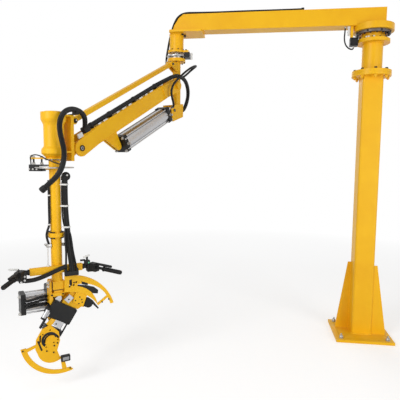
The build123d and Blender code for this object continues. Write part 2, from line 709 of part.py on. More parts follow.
# Wrist caliper round the disc, on two posts
wrist_disc_z = housing_low - wrist_disc_gap - disc_t
wrist_caliper_low, wrist_caliper_high = wrist_disc_z - 23, wrist_disc_z + disc_t + 15
wrist_tongue_low = wrist_disc_z + disc_t + free + 1
with BuildPart() as wrist_caliper:
    with BuildSketch(Plane(origin=drop_foot + up * wrist_caliper_low, x_dir=(1, 0, 0), z_dir=up)):
        with Locations((wrist_caliper_x, 0)):
            RectangleRounded(wrist_caliper_l, wrist_caliper_w, 10)
    extrude(amount=wrist_caliper_high - wrist_caliper_low)
    with BuildSketch(Plane(origin=drop_foot + up * wrist_tongue_low, x_dir=(1, 0, 0), z_dir=up)):
        with Locations((wrist_caliper_x + wrist_caliper_l / 2 + 14, 0)):
            Rectangle(28, 50)
    extrude(amount=wrist_caliper_high - wrist_tongue_low)
    with BuildSketch(drop_level(wrist_disc_z - free)):
        Circle(wrist_disc_d / 2 + free)
    extrude(amount=disc_t + 2 * free, mode=Mode.SUBTRACT)
    with BuildSketch(Plane(origin=drop_foot + up * wrist_caliper_high, x_dir=(1, 0, 0), z_dir=up)):
        with Locations((caliper_post_x[0], 0), (caliper_post_x[1], 0)):
            Circle(caliper_post_d / 2)
    extrude(amount=carrier_low - wrist_caliper_high)
parts["wrist_caliper"] = wrist_caliper

brake_points = [(-163, -22, wrist_caliper_high + seat - low_z), (-163, -22, -95), (-156, -44, -61.5),
                (-112, -62, -49.5), (-60, -86, -57.5), (-16, -104, -75.5), (30, -116, -91.5), (70, -120, -105.5),
                (100.3, -120, -113.5)]
parts["brake_hose"] = hose("brake_hose", [drop_foot + up * low_z + Vector(*p) for p in brake_points], 8)

loop_route = on_knuckle([
    (48, -39, 136), (60, -37, 190), (82, -5, 236), (100, 65, 264), (122, 155, 264), (136, 229, 230),
    (144, 267, 168), (146, 267, 100), (146, 249, 34), (147, 234, -26), (153, 245, -90), (163, 275, -146),
    (165, 313, -190), (150, 349, -228), (110, 392, -282)])
parts["knuckle_loop"] = hose("knuckle_loop", loop_route, conduit_d)

# Saddle that holds the loop, on the knuckle's top plate
loop_bore = hose("saddle bore", loop_route, conduit_d + 2 * seat)
loop_high = web_high + 30
with BuildPart() as loop_saddle:
    with BuildSketch(side(126)):
        with Locations((web_out, (web_high + loop_high) / 2)):
            Rectangle(24, loop_high - web_high)
    extrude(amount=44)
    with BuildSketch(side(126)):
        with Locations((web_out, web_high + 3)):
            Rectangle(24, 6)
    extrude(amount=90)
    add(loop_bore.part, mode=Mode.SUBTRACT)
parts["loop_saddle"] = loop_saddle

# Balancing cylinder: barrel tube with its four tie bolts
barrel_start = cap_start + rear_cap
barrel_len = lift_length - barrel_start - front_cap - rod_shown
barrel_end = barrel_start + barrel_len
with BuildPart() as lift_barrel:
    with BuildSketch(round_lift(barrel_start)):
        Circle(barrel_d / 2)
        Circle(barrel_bore / 2, mode=Mode.SUBTRACT)
        with GridLocations(tie_bolt_pitch, tie_bolt_pitch, 2, 2):
            Circle(tie_bolt_d / 2)
    extrude(amount=barrel_len)
parts["lift_barrel"] = lift_barrel

# End caps, the rear one with the tang that sits on the arm's gusset
with BuildPart() as lift_caps:
    with BuildSketch(round_lift(cap_start)):
        RectangleRounded(cap_side, cap_side, 14)
    extrude(amount=rear_cap)
    with BuildSketch(Plane(origin=lift_root + arm_side * tang_t / 2, x_dir=lift_line,
                           z_dir=arm_side * -1)):
        Circle(tang_r)
        with Locations((cap_start / 2, 0)):
            Rectangle(cap_start, 2 * tang_r)
        Circle(lift_pin_d / 2 + running, mode=Mode.SUBTRACT)
    extrude(amount=tang_t)
    with BuildSketch(round_lift(barrel_end)):
        RectangleRounded(cap_side, cap_side, 14)
        Circle(rod_d / 2 + running, mode=Mode.SUBTRACT)
    extrude(amount=front_cap)
parts["lift_caps"] = lift_caps

# Piston, rod and rod eye
with BuildPart() as lift_rod:
    piston_start = barrel_end - rod_in_barrel
    with BuildSketch(round_lift(piston_start)):
        Circle(barrel_bore / 2 - seat)
    extrude(amount=piston_t)
    with BuildSketch(round_lift(piston_start)):
        Circle(rod_d / 2)
    extrude(amount=lift_length - eye_r + 4 - piston_start)
    with BuildSketch(Plane(origin=lift_root + lift_line * lift_length + arm_side * eye_t / 2,
                           x_dir=lift_line, z_dir=arm_side * -1)):
        Circle(eye_r)
        Circle(lift_pin_d / 2 + running, mode=Mode.SUBTRACT)
    extrude(amount=eye_t)
parts["lift_rod"] = lift_rod

# Wrist disc with the shaft that hangs from the housing
with BuildPart() as wrist_disc:
    with BuildSketch(drop_level(wrist_disc_z)):
        Circle(wrist_disc_d / 2)
    extrude(amount=disc_t)
    with BuildSketch(drop_level(wrist_disc_z)):
        Circle(wrist_shaft_d / 2)
    extrude(amount=land_high + collar_t - wrist_disc_z)
    with BuildSketch(drop_level(land_high + seat)):
        Circle(collar_r)
    extrude(amount=collar_t)
parts["wrist_disc"] = wrist_disc

# Drop tube with its collar, and the neck above the disc
with BuildPart() as drop_tube:
    with BuildSketch(drop_level(drop_low)):
        Circle(drop_d / 2)
    extrude(amount=wrist_disc_z - drop_low)
    with BuildSketch(drop_level(wrist_disc_z - 12)):
        Circle(58)
    extrude(amount=12)
    with BuildSketch(drop_level(collar_z)):
        Circle(collar_d / 2)
    extrude(amount=collar_h)
    with BuildSketch(drop_level(drop_low)):
        Circle(drop_d / 2 - drop_wall)
    extrude(amount=wrist_disc_z - drop_low, mode=Mode.SUBTRACT)
    with BuildSketch(drop_level(wrist_disc_z + disc_t)):
        Circle(neck_d / 2)
        Circle(wrist_shaft_d / 2 + seat, mode=Mode.SUBTRACT)
    extrude(amount=housing_low - 15 - wrist_disc_z - disc_t)
parts["drop_tube"] = drop_tube

bar_back = drop_d / 2 + seat
bar_front = bar_back + bar_t
parts["hose_bundle"] = hose("hose_bundle", on_drop([
    (60, 34, 1530), (59, 32, 1415), (60, 33, 1300), (64, 42, 1200), (70, 54, 1105), (74, 68, 1025),
    (79, 78, 955), (84, bar_front + 20.4, 905), (88, bar_front + 20.3, 860)]), 40)

# Handlebar
with BuildPart() as handlebar:
    with BuildSketch(front(bar_back)):
        with Locations((bar_shift, bar_z)):
            RectangleRounded(bar_len, bar_h, 3)
    extrude(amount=bar_t)
parts["handlebar"] = handlebar

# Hand grips on bent rods at both ends of the bar
rod_o = bar_back + bar_t / 2


def grip_line(way):
    """Where a grip's rod starts, bends and ends."""
    root = bar_shift + way * (bar_len / 2 + seat)
    bend = root + way * grip_stub
    return on_drop([(root, rod_o, bar_z), (bend, rod_o, bar_z),
                    (bend + way * grip_out, rod_o + grip_forward, bar_z - grip_fall)])


with BuildPart() as hand_grips:
    for way in (-1, 1):
        start, bend, end = grip_line(way)
        leg = (end - bend).normalized()
        with BuildLine():
            FilletPolyline(start, bend, end, radius=grip_bend_r)
        with BuildSketch(Plane(origin=start, z_dir=bend - start)):
            Circle(grip_rod_d / 2)
        sweep()
        with BuildSketch(Plane(origin=end - leg * grip_len, z_dir=leg)):
            Circle(grip_d / 2)
        extrude(amount=grip_len + 6)
parts["hand_grips"] = hand_grips

# Control blocks clamped on the rods, each with its squeeze lever
with BuildPart() as hand_controls:
    for way in (-1, 1):
        start, bend, end = grip_line(way)
        leg = (end - bend).normalized()
        across = up.cross(leg).normalized()
        with BuildSketch(Plane(origin=bend + leg * control_start, x_dir=across, z_dir=leg)):
            RectangleRounded(46, 60, 6)
            Circle(grip_rod_d / 2 + seat, mode=Mode.SUBTRACT)
        extrude(amount=control_l)
        with BuildSketch(Plane(origin=bend + leg * (control_start + 52) + up * 27, x_dir=across, z_dir=leg)):
            Rectangle(14, 5)
        extrude(amount=lever_l)
parts["hand_controls"] = hand_controls

parts["handle_hose"] = hose("handle_hose", on_drop([
    (52, 82, 900), (20, 78, 886), (-20, bar_front + 15.3, 872), (-72, bar_front + 15.3, 852),
    (-128, 80, 834), (-184, 84, 825), (-226, 86, 828)]), 30)

# Hinge block under the drop tube, its flange, and the back plate for the tilt drive
block_front, block_back = 38, -39
back_plate = -62
with BuildPart() as hinge_block:
    with BuildSketch(front(block_back)):
        with Locations((2.5, (718 + hinge_top) / 2)):
            Rectangle(83, hinge_top - 718)
    extrude(amount=block_front - block_back)
    with BuildSketch(front(-52)):
        with Locations((-9, (hinge_low + 700) / 2)):
            Rectangle(96, 700 - hinge_low)
    extrude(amount=block_front + 52)
    with BuildSketch(front(-52)):
        with Locations((0, (hinge_low + 718) / 2 + 6)):
            Rectangle(60, 718 - hinge_low)
    extrude(amount=84)
    with BuildSketch(front(-30)):
        with Locations((-51, (hinge_low + hinge_top) / 2)):
            Rectangle(12, hinge_top - hinge_low)
    extrude(amount=60)
    with BuildSketch(front(back_plate)):
        with BuildLine():
            Polyline((-57, hinge_top), (44, hinge_top), (95, 700), (95, 480), (-60, 480), (-60, 700),
                     close=True)
        make_face()
        with Locations((tilt_h, tilt_z)):
            Circle(tilt_shaft_d / 2 + running, mode=Mode.SUBTRACT)
    extrude(amount=10.5)
parts["hinge_block"] = hinge_block

# Tilt drive behind the back plate: rack cylinder with black end pieces
drive_front = back_plate - seat
with BuildPart() as tilt_caps:
    with BuildSketch(front(drive_front)):
        with Locations((20, 600)):
            RectangleRounded(160, 236, 12)
        with Locations((tilt_h, tilt_z)):
            Circle(tilt_shaft_d / 2 + free, mode=Mode.SUBTRACT)
    extrude(amount=-130)
    with BuildSketch(Plane(origin=on_drop([(tilt_cap_h0, tilt_axis_o, tilt_axis_z)])[0], z_dir=handle_out,
                           x_dir=handle_front)):
        RectangleRounded(tilt_cap_w, tilt_cap_h, 10)
    extrude(amount=tilt_cap_l)
parts["tilt_caps"] = tilt_caps

barrel_origin = on_drop([(tilt_cap_h0 + tilt_cap_l, tilt_axis_o, tilt_axis_z)])[0]
with BuildPart() as tilt_barrel:
    with BuildSketch(Plane(origin=barrel_origin, z_dir=handle_out, x_dir=handle_front)):
        Circle(tilt_barrel_d / 2)
        Circle(tilt_barrel_d / 2 - tilt_barrel_wall, mode=Mode.SUBTRACT)
        with GridLocations(tilt_cap_w - 24, tilt_cap_h - 26, 2, 2):
            Circle(6)
    extrude(amount=tilt_barrel_l - seat)
parts["tilt_barrel"] = tilt_barrel

# Gripper body: black hood on the tilt shaft, bored for the lower jaw's guide rods
hood_back = back_plate + 17
with BuildPart() as gripper_hood:
    with BuildSketch(tool(hood_back)):
        with Locations(((hood_left + hood_right) / 2, (hood_low + hood_high) / 2)):
            RectangleRounded(hood_right - hood_left, hood_high - hood_low, 12)
    extrude(amount=jaw_back - seat - hood_back)
    with BuildSketch(tool(drive_front - 60)):
        Circle(tilt_shaft_d / 2)
    extrude(amount=hood_back - drive_front + 60)
    for x in guide_x:
        with BuildSketch(Plane(origin=tool().origin + tool_across * x + tool().y_dir * hood_low,
                               x_dir=tool_across, z_dir=tool().y_dir)):
            Circle(guide_d / 2 + running)
        extrude(amount=110, mode=Mode.SUBTRACT)
parts["gripper_hood"] = gripper_hood

# Upper jaw: bow plate with its crescent window
with BuildPart() as upper_jaw:
    with BuildSketch(tool(jaw_back)):
        with BuildLine():
            outer = ThreePointArc((-122, 229), (87, 295), (314, 206))
            tip = Line((314, 206), (296, 190))
            inner_tip = ThreePointArc((296, 190), (276, 206), (250, 222))
            bar_edge = Line((250, 222), (214, 141))
            inner = ThreePointArc((214, 141), (88, 173), (-61, 126))
            left = Line((-61, 126), (-122, 229))
        make_face()
        with BuildLine():
            slot_top = ThreePointArc((-4, 218), (125, 259), (236, 232))
            bar_in = Line((236, 232), (202, 152))
            slot_low = ThreePointArc((202, 152), (120, 205), (-4, 202))
            slot_end = Line((-4, 202), (-4, 218))
        make_face(mode=Mode.SUBTRACT)
        with Locations((-58, 206)):
            Rectangle(20, 46, rotation=32, mode=Mode.SUBTRACT)
        with Locations((-24, 226), (-30, 200)):
            Circle(7, mode=Mode.SUBTRACT)
    extrude(amount=jaw_t)
parts["upper_jaw"] = upper_jaw

# Carriage between hood and upper jaw: back plate and raised block
carriage_step = 26
with BuildPart() as upper_carriage:
    with BuildSketch(tool(0)):
        with BuildLine():
            Polyline((-30, hood_high + seat), (100, hood_high + seat), (123, 92), (110, 168), (-10, 150),
                     (-30, 92), close=True)
        make_face()
    extrude(amount=carriage_step)
    with BuildSketch(tool(carriage_step)):
        with BuildLine():
            Polyline((34, 91), (121, 84), (104, 161), (104, 190), (18, 186), (20, 141), close=True)
        make_face()
    extrude(amount=jaw_back - seat - carriage_step)
parts["upper_carriage"] = upper_carriage

# Round knob at the carriage's end
with BuildPart() as jaw_knob:
    with BuildSketch(tool(6)):
        with Locations((148, 123)):
            Circle(30)
        with Locations((123, 92)):
            Rectangle(8, 8)
        with BuildLine():
            Polyline((123.5, 92), (148, 93), (140, 153), (112, 158), close=True)
        make_face()
        with BuildLine():
            Polyline((0, hood_high), (101, hood_high), (123 + seat, 91), (123 + seat, 92),
                     (110 + seat, 168 + seat), (0, 160), close=True)
        make_face(mode=Mode.SUBTRACT)
    extrude(amount=36)
parts["jaw_knob"] = jaw_knob

# Small cylinder on the hood's front, along its left edge
with BuildPart() as side_cylinder:
    with BuildSketch(Plane(origin=tool(jaw_back + 16).origin + tool_across * -104 + tool().y_dir * -95,
                           x_dir=tool_across, z_dir=tool().y_dir)):
        Circle(15)
    extrude(amount=85)
    with BuildSketch(tool(jaw_back)):
        with Locations((-92, -52)):
            Rectangle(24, 30)
    extrude(amount=16)
parts["side_cylinder"] = side_cylinder

# Lower jaw: body plate, bow and spokes
with BuildPart() as lower_jaw:
    with BuildSketch(tool(jaw_back)):
        with BuildLine():
            low_outer = ThreePointArc((-127, -338), (85, -430), (290, -339))
            low_right = Line((290, -339), (262, -330))
            low_inner = ThreePointArc((262, -330), (85, -397), (-98, -316))
            low_left = Line((-98, -316), (-127, -338))
        make_face()
        with BuildLine():
            Polyline((-32, -113), (47, -133), (89, -185), (108, -255), (163, -300))
            ThreePointArc((163, -300), (80, -358), (0, -330))
            Polyline((0, -330), (-34, -305), (-66, -242), (-68, -162), (-32, -113))
        make_face()
        with BuildLine():
            Polyline((-40, -262), (-40, -290), (-84, -346), (-98, -326), close=True)
        make_face()
        with BuildLine():
            Polyline((150, -285), (195, -300), (240, -345), (212, -362), close=True)
        make_face()
        with Locations((-14, -146), (12, -160), (-44, -192), (-20, -182), (72, -186), (56, -214), (-34, -256),
                       (24, -262)):
            Circle(5.5, mode=Mode.SUBTRACT)
        with BuildLine(mode=Mode.PRIVATE):
            arc_slot = ThreePointArc((66, -172), (4, -174), (-4, -236))
        SlotArc(arc_slot, 14, mode=Mode.SUBTRACT)
        with Locations((-44, -226)):
            SlotOverall(54, 12, rotation=-62, mode=Mode.SUBTRACT)
    extrude(amount=jaw_t)
parts["lower_jaw"] = lower_jaw

# Lower carriage: crosshead on two guide rods
with BuildPart() as lower_carriage:
    with BuildSketch(tool(-20)):
        with Locations((15, -150)):
            Rectangle(130, 40)
    extrude(amount=20 + jaw_back - seat)
    for x in guide_x:
        with BuildSketch(Plane(origin=tool().origin + tool_across * x + tool().y_dir * -135,
                               x_dir=tool_across, z_dir=tool().y_dir)):
            Circle(guide_d / 2)
        extrude(amount=125)
parts["lower_carriage"] = lower_carriage

# Small sensor box on the lower jaw
with BuildPart() as sensor_box:
    with BuildSketch(tool(jaw_back + jaw_t + seat)):
        with Locations((186, -280)):
            Rectangle(62, 42, rotation=32)
    extrude(amount=28)
parts["sensor_box"] = sensor_box

os.makedirs("parts", exist_ok=True)
for name, piece in parts.items():
    piece.part.label = name
    export_step(piece.part, f"parts/{name}.step")
print(len(parts), "pieces")
print("low pivot", round(low_out, 1), round(low_z, 1), "drop", drop_foot, "tool", tool_centre)
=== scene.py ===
import math

import bpy
import numpy as np
from mathutils import Matrix, Vector


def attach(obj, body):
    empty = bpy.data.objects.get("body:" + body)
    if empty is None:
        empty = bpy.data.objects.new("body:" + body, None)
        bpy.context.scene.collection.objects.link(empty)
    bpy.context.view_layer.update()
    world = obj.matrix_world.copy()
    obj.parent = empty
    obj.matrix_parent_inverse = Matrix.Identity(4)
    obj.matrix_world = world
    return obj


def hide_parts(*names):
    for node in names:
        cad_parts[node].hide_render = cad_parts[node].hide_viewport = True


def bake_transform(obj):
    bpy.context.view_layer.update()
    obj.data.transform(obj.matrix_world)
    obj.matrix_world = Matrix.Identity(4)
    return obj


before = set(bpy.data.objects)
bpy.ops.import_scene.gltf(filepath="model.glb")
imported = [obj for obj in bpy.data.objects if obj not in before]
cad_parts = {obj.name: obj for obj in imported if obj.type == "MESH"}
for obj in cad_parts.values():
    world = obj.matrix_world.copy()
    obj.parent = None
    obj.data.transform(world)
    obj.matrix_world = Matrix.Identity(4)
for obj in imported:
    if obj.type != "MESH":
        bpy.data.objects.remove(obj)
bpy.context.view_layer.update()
print("solids loaded:", len(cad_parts))

# Angles in degrees and pivots in millimetres, as the solids have them. Lengths are written in millimetres
# in this file; the place and shape functions turn them into metres.
rig = {"elbowX": -1800, "armTurn": 65.6, "armDip": 27.4, "armLength": 1345, "pivotOut": 69, "pivotZ": 2344.5,
       "dropReach": 198, "barTurn": 38, "toolTilt": 32, "shaftOut": 22, "shaftZ": 560, "liftOut": 835,
       "liftZ": 1750, "eyeOut": 100, "eyeZ": 2110, "linkOut": 36, "linkUp": 195}


def cosSin(degrees):
    return math.cos(math.radians(degrees)), math.sin(math.radians(degrees))


def placesIn(origin, *axes):
    # a place is the origin plus each amount times its axis: three amounts, whole arrays, or a list of threes
    def place(*amounts):
        amounts = amounts[0] if len(amounts) == 1 else np.stack(np.broadcast_arrays(*amounts), -1)
        return origin + np.asarray(amounts, float) / 1000 @ np.array(axes)
    return place


turnCos, turnSin = cosSin(rig["armTurn"])
dipCos, dipSin = cosSin(rig["armDip"])
barCos, barSin = cosSin(rig["barTurn"])
tiltCos, tiltSin = cosSin(rig["toolTilt"])
upward = np.array([0.0, 0.0, 1.0])
armOut = np.array([-turnCos, -turnSin, 0.0])
armSide = np.array([turnSin, -turnCos, 0.0])
armSlope = armOut * dipCos - upward * dipSin
armNormal = armOut * dipSin + upward * dipCos
barOut = np.array([barCos, barSin, 0.0])
barFront = np.array([barSin, -barCos, 0.0])
toolAcross = barOut * tiltCos - upward * tiltSin
toolUp = barOut * tiltSin + upward * tiltCos
lowOut = rig["pivotOut"] + rig["armLength"] * dipCos
lowZ = rig["pivotZ"] - rig["armLength"] * dipSin

onColumn = placesIn(np.zeros(3), *np.eye(3))
onElbow = placesIn(onColumn(rig["elbowX"], 0, 0), *np.eye(3))
onArm = placesIn(onElbow(0, 0, 0), armSide, armOut, upward)
onSlope = placesIn(onArm(0, rig["pivotOut"], rig["pivotZ"]), armSide, armSlope, armNormal)
drop = onArm(0, lowOut + rig["dropReach"], 0)
onWrist = placesIn(drop, *np.eye(3))
onDrop = placesIn(drop, barOut, barFront, upward)
onTool = placesIn(onDrop(rig["shaftOut"], 0, rig["shaftZ"]), toolAcross, toolUp, barFront)
liftRoot = onArm(0, rig["liftOut"], rig["liftZ"])
liftLine = onArm(0, rig["eyeOut"], rig["eyeZ"]) - liftRoot
liftLine = liftLine / np.linalg.norm(liftLine)
onLift = placesIn(liftRoot, armSide, np.cross(liftLine, armSide), liftLine)

# ---- shapes as whole arrays: a shape is its points and its faces


def gridFaces(rows, columns, wrapRows=False):
    # quads between neighbouring rows of a grid whose columns close on themselves
    lastRow = rows if wrapRows else rows - 1
    i = np.arange(lastRow)[:, None] * columns
    below = (np.arange(lastRow)[:, None] + 1) % rows * columns
    j = np.arange(columns)[None, :]
    k = (j + 1) % columns
    return np.stack([i + j, i + k, below + k, below + j], -1).reshape(-1, 4).tolist()


def cappedGrid(points):
    # rows along, columns round; both ends closed by one face
    rows, columns = points.shape[:2]
    faces = gridFaces(rows, columns)
    faces.append(list(range(columns))[::-1])
    faces.append(list(range((rows - 1) * columns, rows * columns)))
    return points.reshape(-1, 3), faces


def joined(shapes):
    starts = np.cumsum([0] + [len(points) for points, faces in shapes])
    faces = [[v + int(start) for v in face] for start, (points, own) in zip(starts, shapes) for face in own]
    return np.concatenate([points for points, own in shapes]), faces


def squareTo(axis, hint=None):
    # two directions square to the axis and to each other, the first nearest the hint
    axis = np.asarray(axis, float) / np.linalg.norm(axis)
    guess = np.eye(3)[np.argmin(np.abs(axis))] if hint is None else np.asarray(hint, float)
    first = guess - axis * (guess @ axis)
    first /= np.linalg.norm(first)
    return first, np.cross(axis, first), axis


def circle(axis, count, start=0, hint=None):
    # directions evenly round an axis: cos u a + sin u b
    first, second, axis = squareTo(axis, hint)
    u = np.radians(start) + np.arange(count) * 2 * np.pi / count
    return np.cos(u)[:, None] * first + np.sin(u)[:, None] * second


def ringOf(place, axis, radius, count, start=0):
    # places evenly round a circle
    return place + radius / 1000 * circle(axis, count, start)


def circleLine(place, axis, radius, hint=None):
    # a closed line round a circle, its last point on its first
    first, second, axis = squareTo(axis, hint)
    u = np.linspace(0, 2 * np.pi, 64)[:, None]
    return place + radius / 1000 * (np.cos(u) * first + np.sin(u) * second)


def lathe(place, axis, profile, sides=32):
    # each (radius, height) of the profile carried round the axis: place + r cos u a + r sin u b + h axis
    radius, height = np.array(profile, float).T[..., None, None] / 1000
    axis = squareTo(axis)[2]
    return cappedGrid(place + radius * circle(axis, sides) + height * axis)


def hexRows(place, axis, rows, sides=24):
    # rows of (kind, radius, height): 1 is a hexagon that wide across its flats over two, 0 a circle
    u = np.arange(sides) * 2 * np.pi / sides
    flat = 1 / np.cos((u + np.pi / 6) % (np.pi / 3) - np.pi / 6)
    kind, radius, height = np.array(rows, float).T[..., None]
    radius = radius / 1000
    reach = np.minimum(radius * np.where(kind > 0.5, flat, 1), radius * 1.16)
    axis = squareTo(axis)[2]
    return cappedGrid(place + reach[..., None] * circle(axis, sides) + height[..., None] / 1000 * axis)


def hexBolt(place, axis, across):
    r = across / 2
    return hexRows(place, axis, [(0, r * 1.35, 0), (0, r * 1.35, r * 0.2), (1, r, r * 0.2), (1, r, r * 1.1),
                                 (0, r * 0.92, r * 1.3)])


def hexNut(place, axis, across, stud):
    r = across / 2
    return hexRows(place, axis, [
        (0, r * 1.35, 0), (0, r * 1.35, r * 0.2), (1, r, r * 0.2), (1, r, r * 1.45), (0, r * 0.92, r * 1.6),
        (0, r * 0.5, r * 1.6), (0, r * 0.5, r * 1.6 + stud), (0, r * 0.4, r * 1.65 + stud)])


def socketBolt(place, axis, radius):
    return hexRows(place, axis, [(0, radius, 0), (0, radius, radius * 1.2), (0, radius * 0.9, radius * 1.35),
                                 (1, radius * 0.52, radius * 1.35), (1, radius * 0.5, radius * 0.7)])


def nipple(place, axis, across, high, neck, reach, root=0):
    # a hexagon with a round neck on it
    return hexRows(place, axis, [(1, across, root), (1, across, high), (0, neck, high + 1), (0, neck, reach)])


def boxShape(centre, axes, half, corner):
    # a box with rounded edges: the corner's centre by the signs of a direction, plus corner times it
    steps = 3
    polar = np.concatenate([np.linspace(0, np.pi / 2, steps), np.linspace(np.pi / 2, np.pi, steps)])
    quarter = np.linspace(0, np.pi / 2, steps)
    u = np.concatenate([quarter + n * np.pi / 2 for n in range(4)])
    direction = np.stack([np.sin(polar)[:, None] * np.cos(u), np.sin(polar)[:, None] * np.sin(u),
                          np.repeat(np.cos(polar)[:, None], len(u), 1)], -1)
    signs = np.repeat([1, -1, -1, 1], steps), np.repeat([1, 1, -1, -1], steps), np.repeat([1, -1], steps)[:, None]
    sign = np.stack(np.broadcast_arrays(*signs), -1)
    local = sign * (np.array(half) - corner) + direction * corner
    return cappedGrid((centre + local / 1000 @ np.array(axes))[::-1])


def tubeShape(line, radius, sides=16):
    # a ring square to the line at each of its points: point + r cos u n + r sin u b
    tangent = np.gradient(line, axis=0)
    tangent /= np.linalg.norm(tangent, axis=1)[:, None]
    flat = np.linalg.svd(tangent)[2][2]
    normal = np.cross(flat, tangent)
    normal /= np.linalg.norm(normal, axis=1)[:, None]
    binormal = np.cross(tangent, normal)
    u = np.linspace(0, 2 * np.pi, sides, endpoint=False)[None, :, None]
    radius = np.broadcast_to(np.asarray(radius, float) / 1000, len(line))[:, None, None]
    return cappedGrid(line[:, None] + radius * (np.cos(u) * normal[:, None] + np.sin(u) * binormal[:, None]))


def evenly(line, step):
    # the same line with its points an even step apart, and how far along each lies in millimetres
    gone = np.concatenate([[0], np.cumsum(np.linalg.norm(np.diff(line, axis=0), axis=1))])
    at = np.linspace(0, gone[-1], max(3, int(round(gone[-1] / step * 1000)) + 1))
    return np.stack([np.interp(at, gone, line[:, n]) for n in range(3)], -1), at * 1000


def hoseShape(line, step, radius, sides=12):
    return tubeShape(evenly(line, step)[0], radius, sides)


def ribbedTube(line, radius, depth, pitch, sides=20):
    # the radius rises and falls along the tube: r - depth (0.5 - 0.5 cos(2 pi s / pitch))^2
    even, at = evenly(line, pitch / 6)
    return tubeShape(even, radius - depth * (0.5 - 0.5 * np.cos(2 * np.pi * at / pitch)) ** 2, sides)


def weldBead(line, size, pitch=6):
    # a round bead whose radius ripples like laid drops
    even, at = evenly(line, pitch / 3)
    return tubeShape(even, size * (1 + 0.13 * np.abs(np.sin(np.pi * at / pitch))), 8)


def roundedSquare(half, corner, z):
    # the closed line round a square with quarter circles at its corners
    quarter = np.radians(np.linspace(0, 90, 7))
    turn = np.concatenate([quarter + n * np.pi / 2 for n in range(4)])
    signX, signY = np.repeat([1, -1, -1, 1], 7), np.repeat([1, 1, -1, -1], 7)
    line = onColumn(signX * (half - corner) + corner * np.cos(turn),
                    signY * (half - corner) + corner * np.sin(turn), z)
    return np.concatenate([line, line[:1]])


def prism(corners, low, high, chamfer=1.2):
    # a plate in the gripper's plane: its corners, and how far its two faces lie toward the operator
    flat = np.array(corners, float)
    after = np.roll(flat, -1, 0)
    if (flat[:, 0] * after[:, 1] - flat[:, 1] * after[:, 0]).sum() < 0:
        flat = flat[::-1]
    away = flat - flat.mean(0)
    small = flat.mean(0) + away * (1 - chamfer / np.linalg.norm(away, axis=1).min())
    rows = [(small, low), (flat, low + chamfer), (flat, high - chamfer), (small, high)]
    return cappedGrid(np.stack([onTool(ring[:, 0], ring[:, 1], o) for ring, o in rows]))


def ringBand(place, axis, radius, width, thick, sides=40):
    # a flat strap round a circle: its corners are the circle, out by its thickness, half the width each way
    outward = circle(axis, sides)
    half = squareTo(axis)[2] * width / 2000
    inner, outer = place + outward * radius / 1000, place + outward * (radius + thick) / 1000
    rows = np.stack([inner - half, inner + half, outer + half, outer - half], 1)
    return rows.reshape(-1, 3), gridFaces(sides, 4, wrapRows=True)


# ---- finishes


class Wire:
    # one socket, with the operators that the finishes use
    def __init__(self, finish, socket):
        self.finish, self.socket = finish, socket

    def join(self, operation, first, second, clamp=False):
        made = self.finish.node("ShaderNodeMath", {"operation": operation, "use_clamp": clamp},
                                {0: first, 1: second})
        return Wire(self.finish, made.outputs[0])

    def __add__(self, other):
        return self.join("ADD", self, other)

    def __radd__(self, other):
        return self.join("ADD", other, self)

    def __sub__(self, other):
        return self.join("SUBTRACT", self, other)

    def __rsub__(self, other):
        return self.join("SUBTRACT", other, self)

    def __mul__(self, other):
        return self.join("MULTIPLY", self, other)

    def __rmul__(self, other):
        return self.join("MULTIPLY", other, self)

    def clamped(self):
        return self.join("ADD", self, 0.0, clamp=True)

    def steep(self, low, high):
        # 0 below low, 1 above high, a straight line between
        return self.join("MULTIPLY", self - low, 1 / (high - low), clamp=True)


class Nodes:
    # the nodes of a material or of the world
    def __init__(self, tree):
        self.tree = tree

    def node(self, kind, settings, sockets):
        made = self.tree.nodes.new(kind)
        for key, value in settings.items():
            setattr(made, key, value)
        for key, value in sockets.items():
            if isinstance(value, Wire):
                self.tree.links.new(value.socket, made.inputs[key])
            else:
                made.inputs[key].default_value = value
        return made

    def shader(self, kind, sockets):
        return Wire(self, self.node(kind, {}, sockets).outputs[0])

    def mixed(self, share, first, second):
        made = self.node("ShaderNodeMix", {"data_type": "RGBA"}, {0: share, 6: first, 7: second})
        return Wire(self, made.outputs[2])

    def seenDirectly(self):
        # 1 for the rays of the camera, of gloss and through glass
        paths = self.node("ShaderNodeLightPath", {}, {})
        straight, gloss, glass = [Wire(self, paths.outputs["Is %s Ray" % kind])
                                  for kind in ("Camera", "Glossy", "Transmission")]
        return (straight + gloss + glass).clamped()


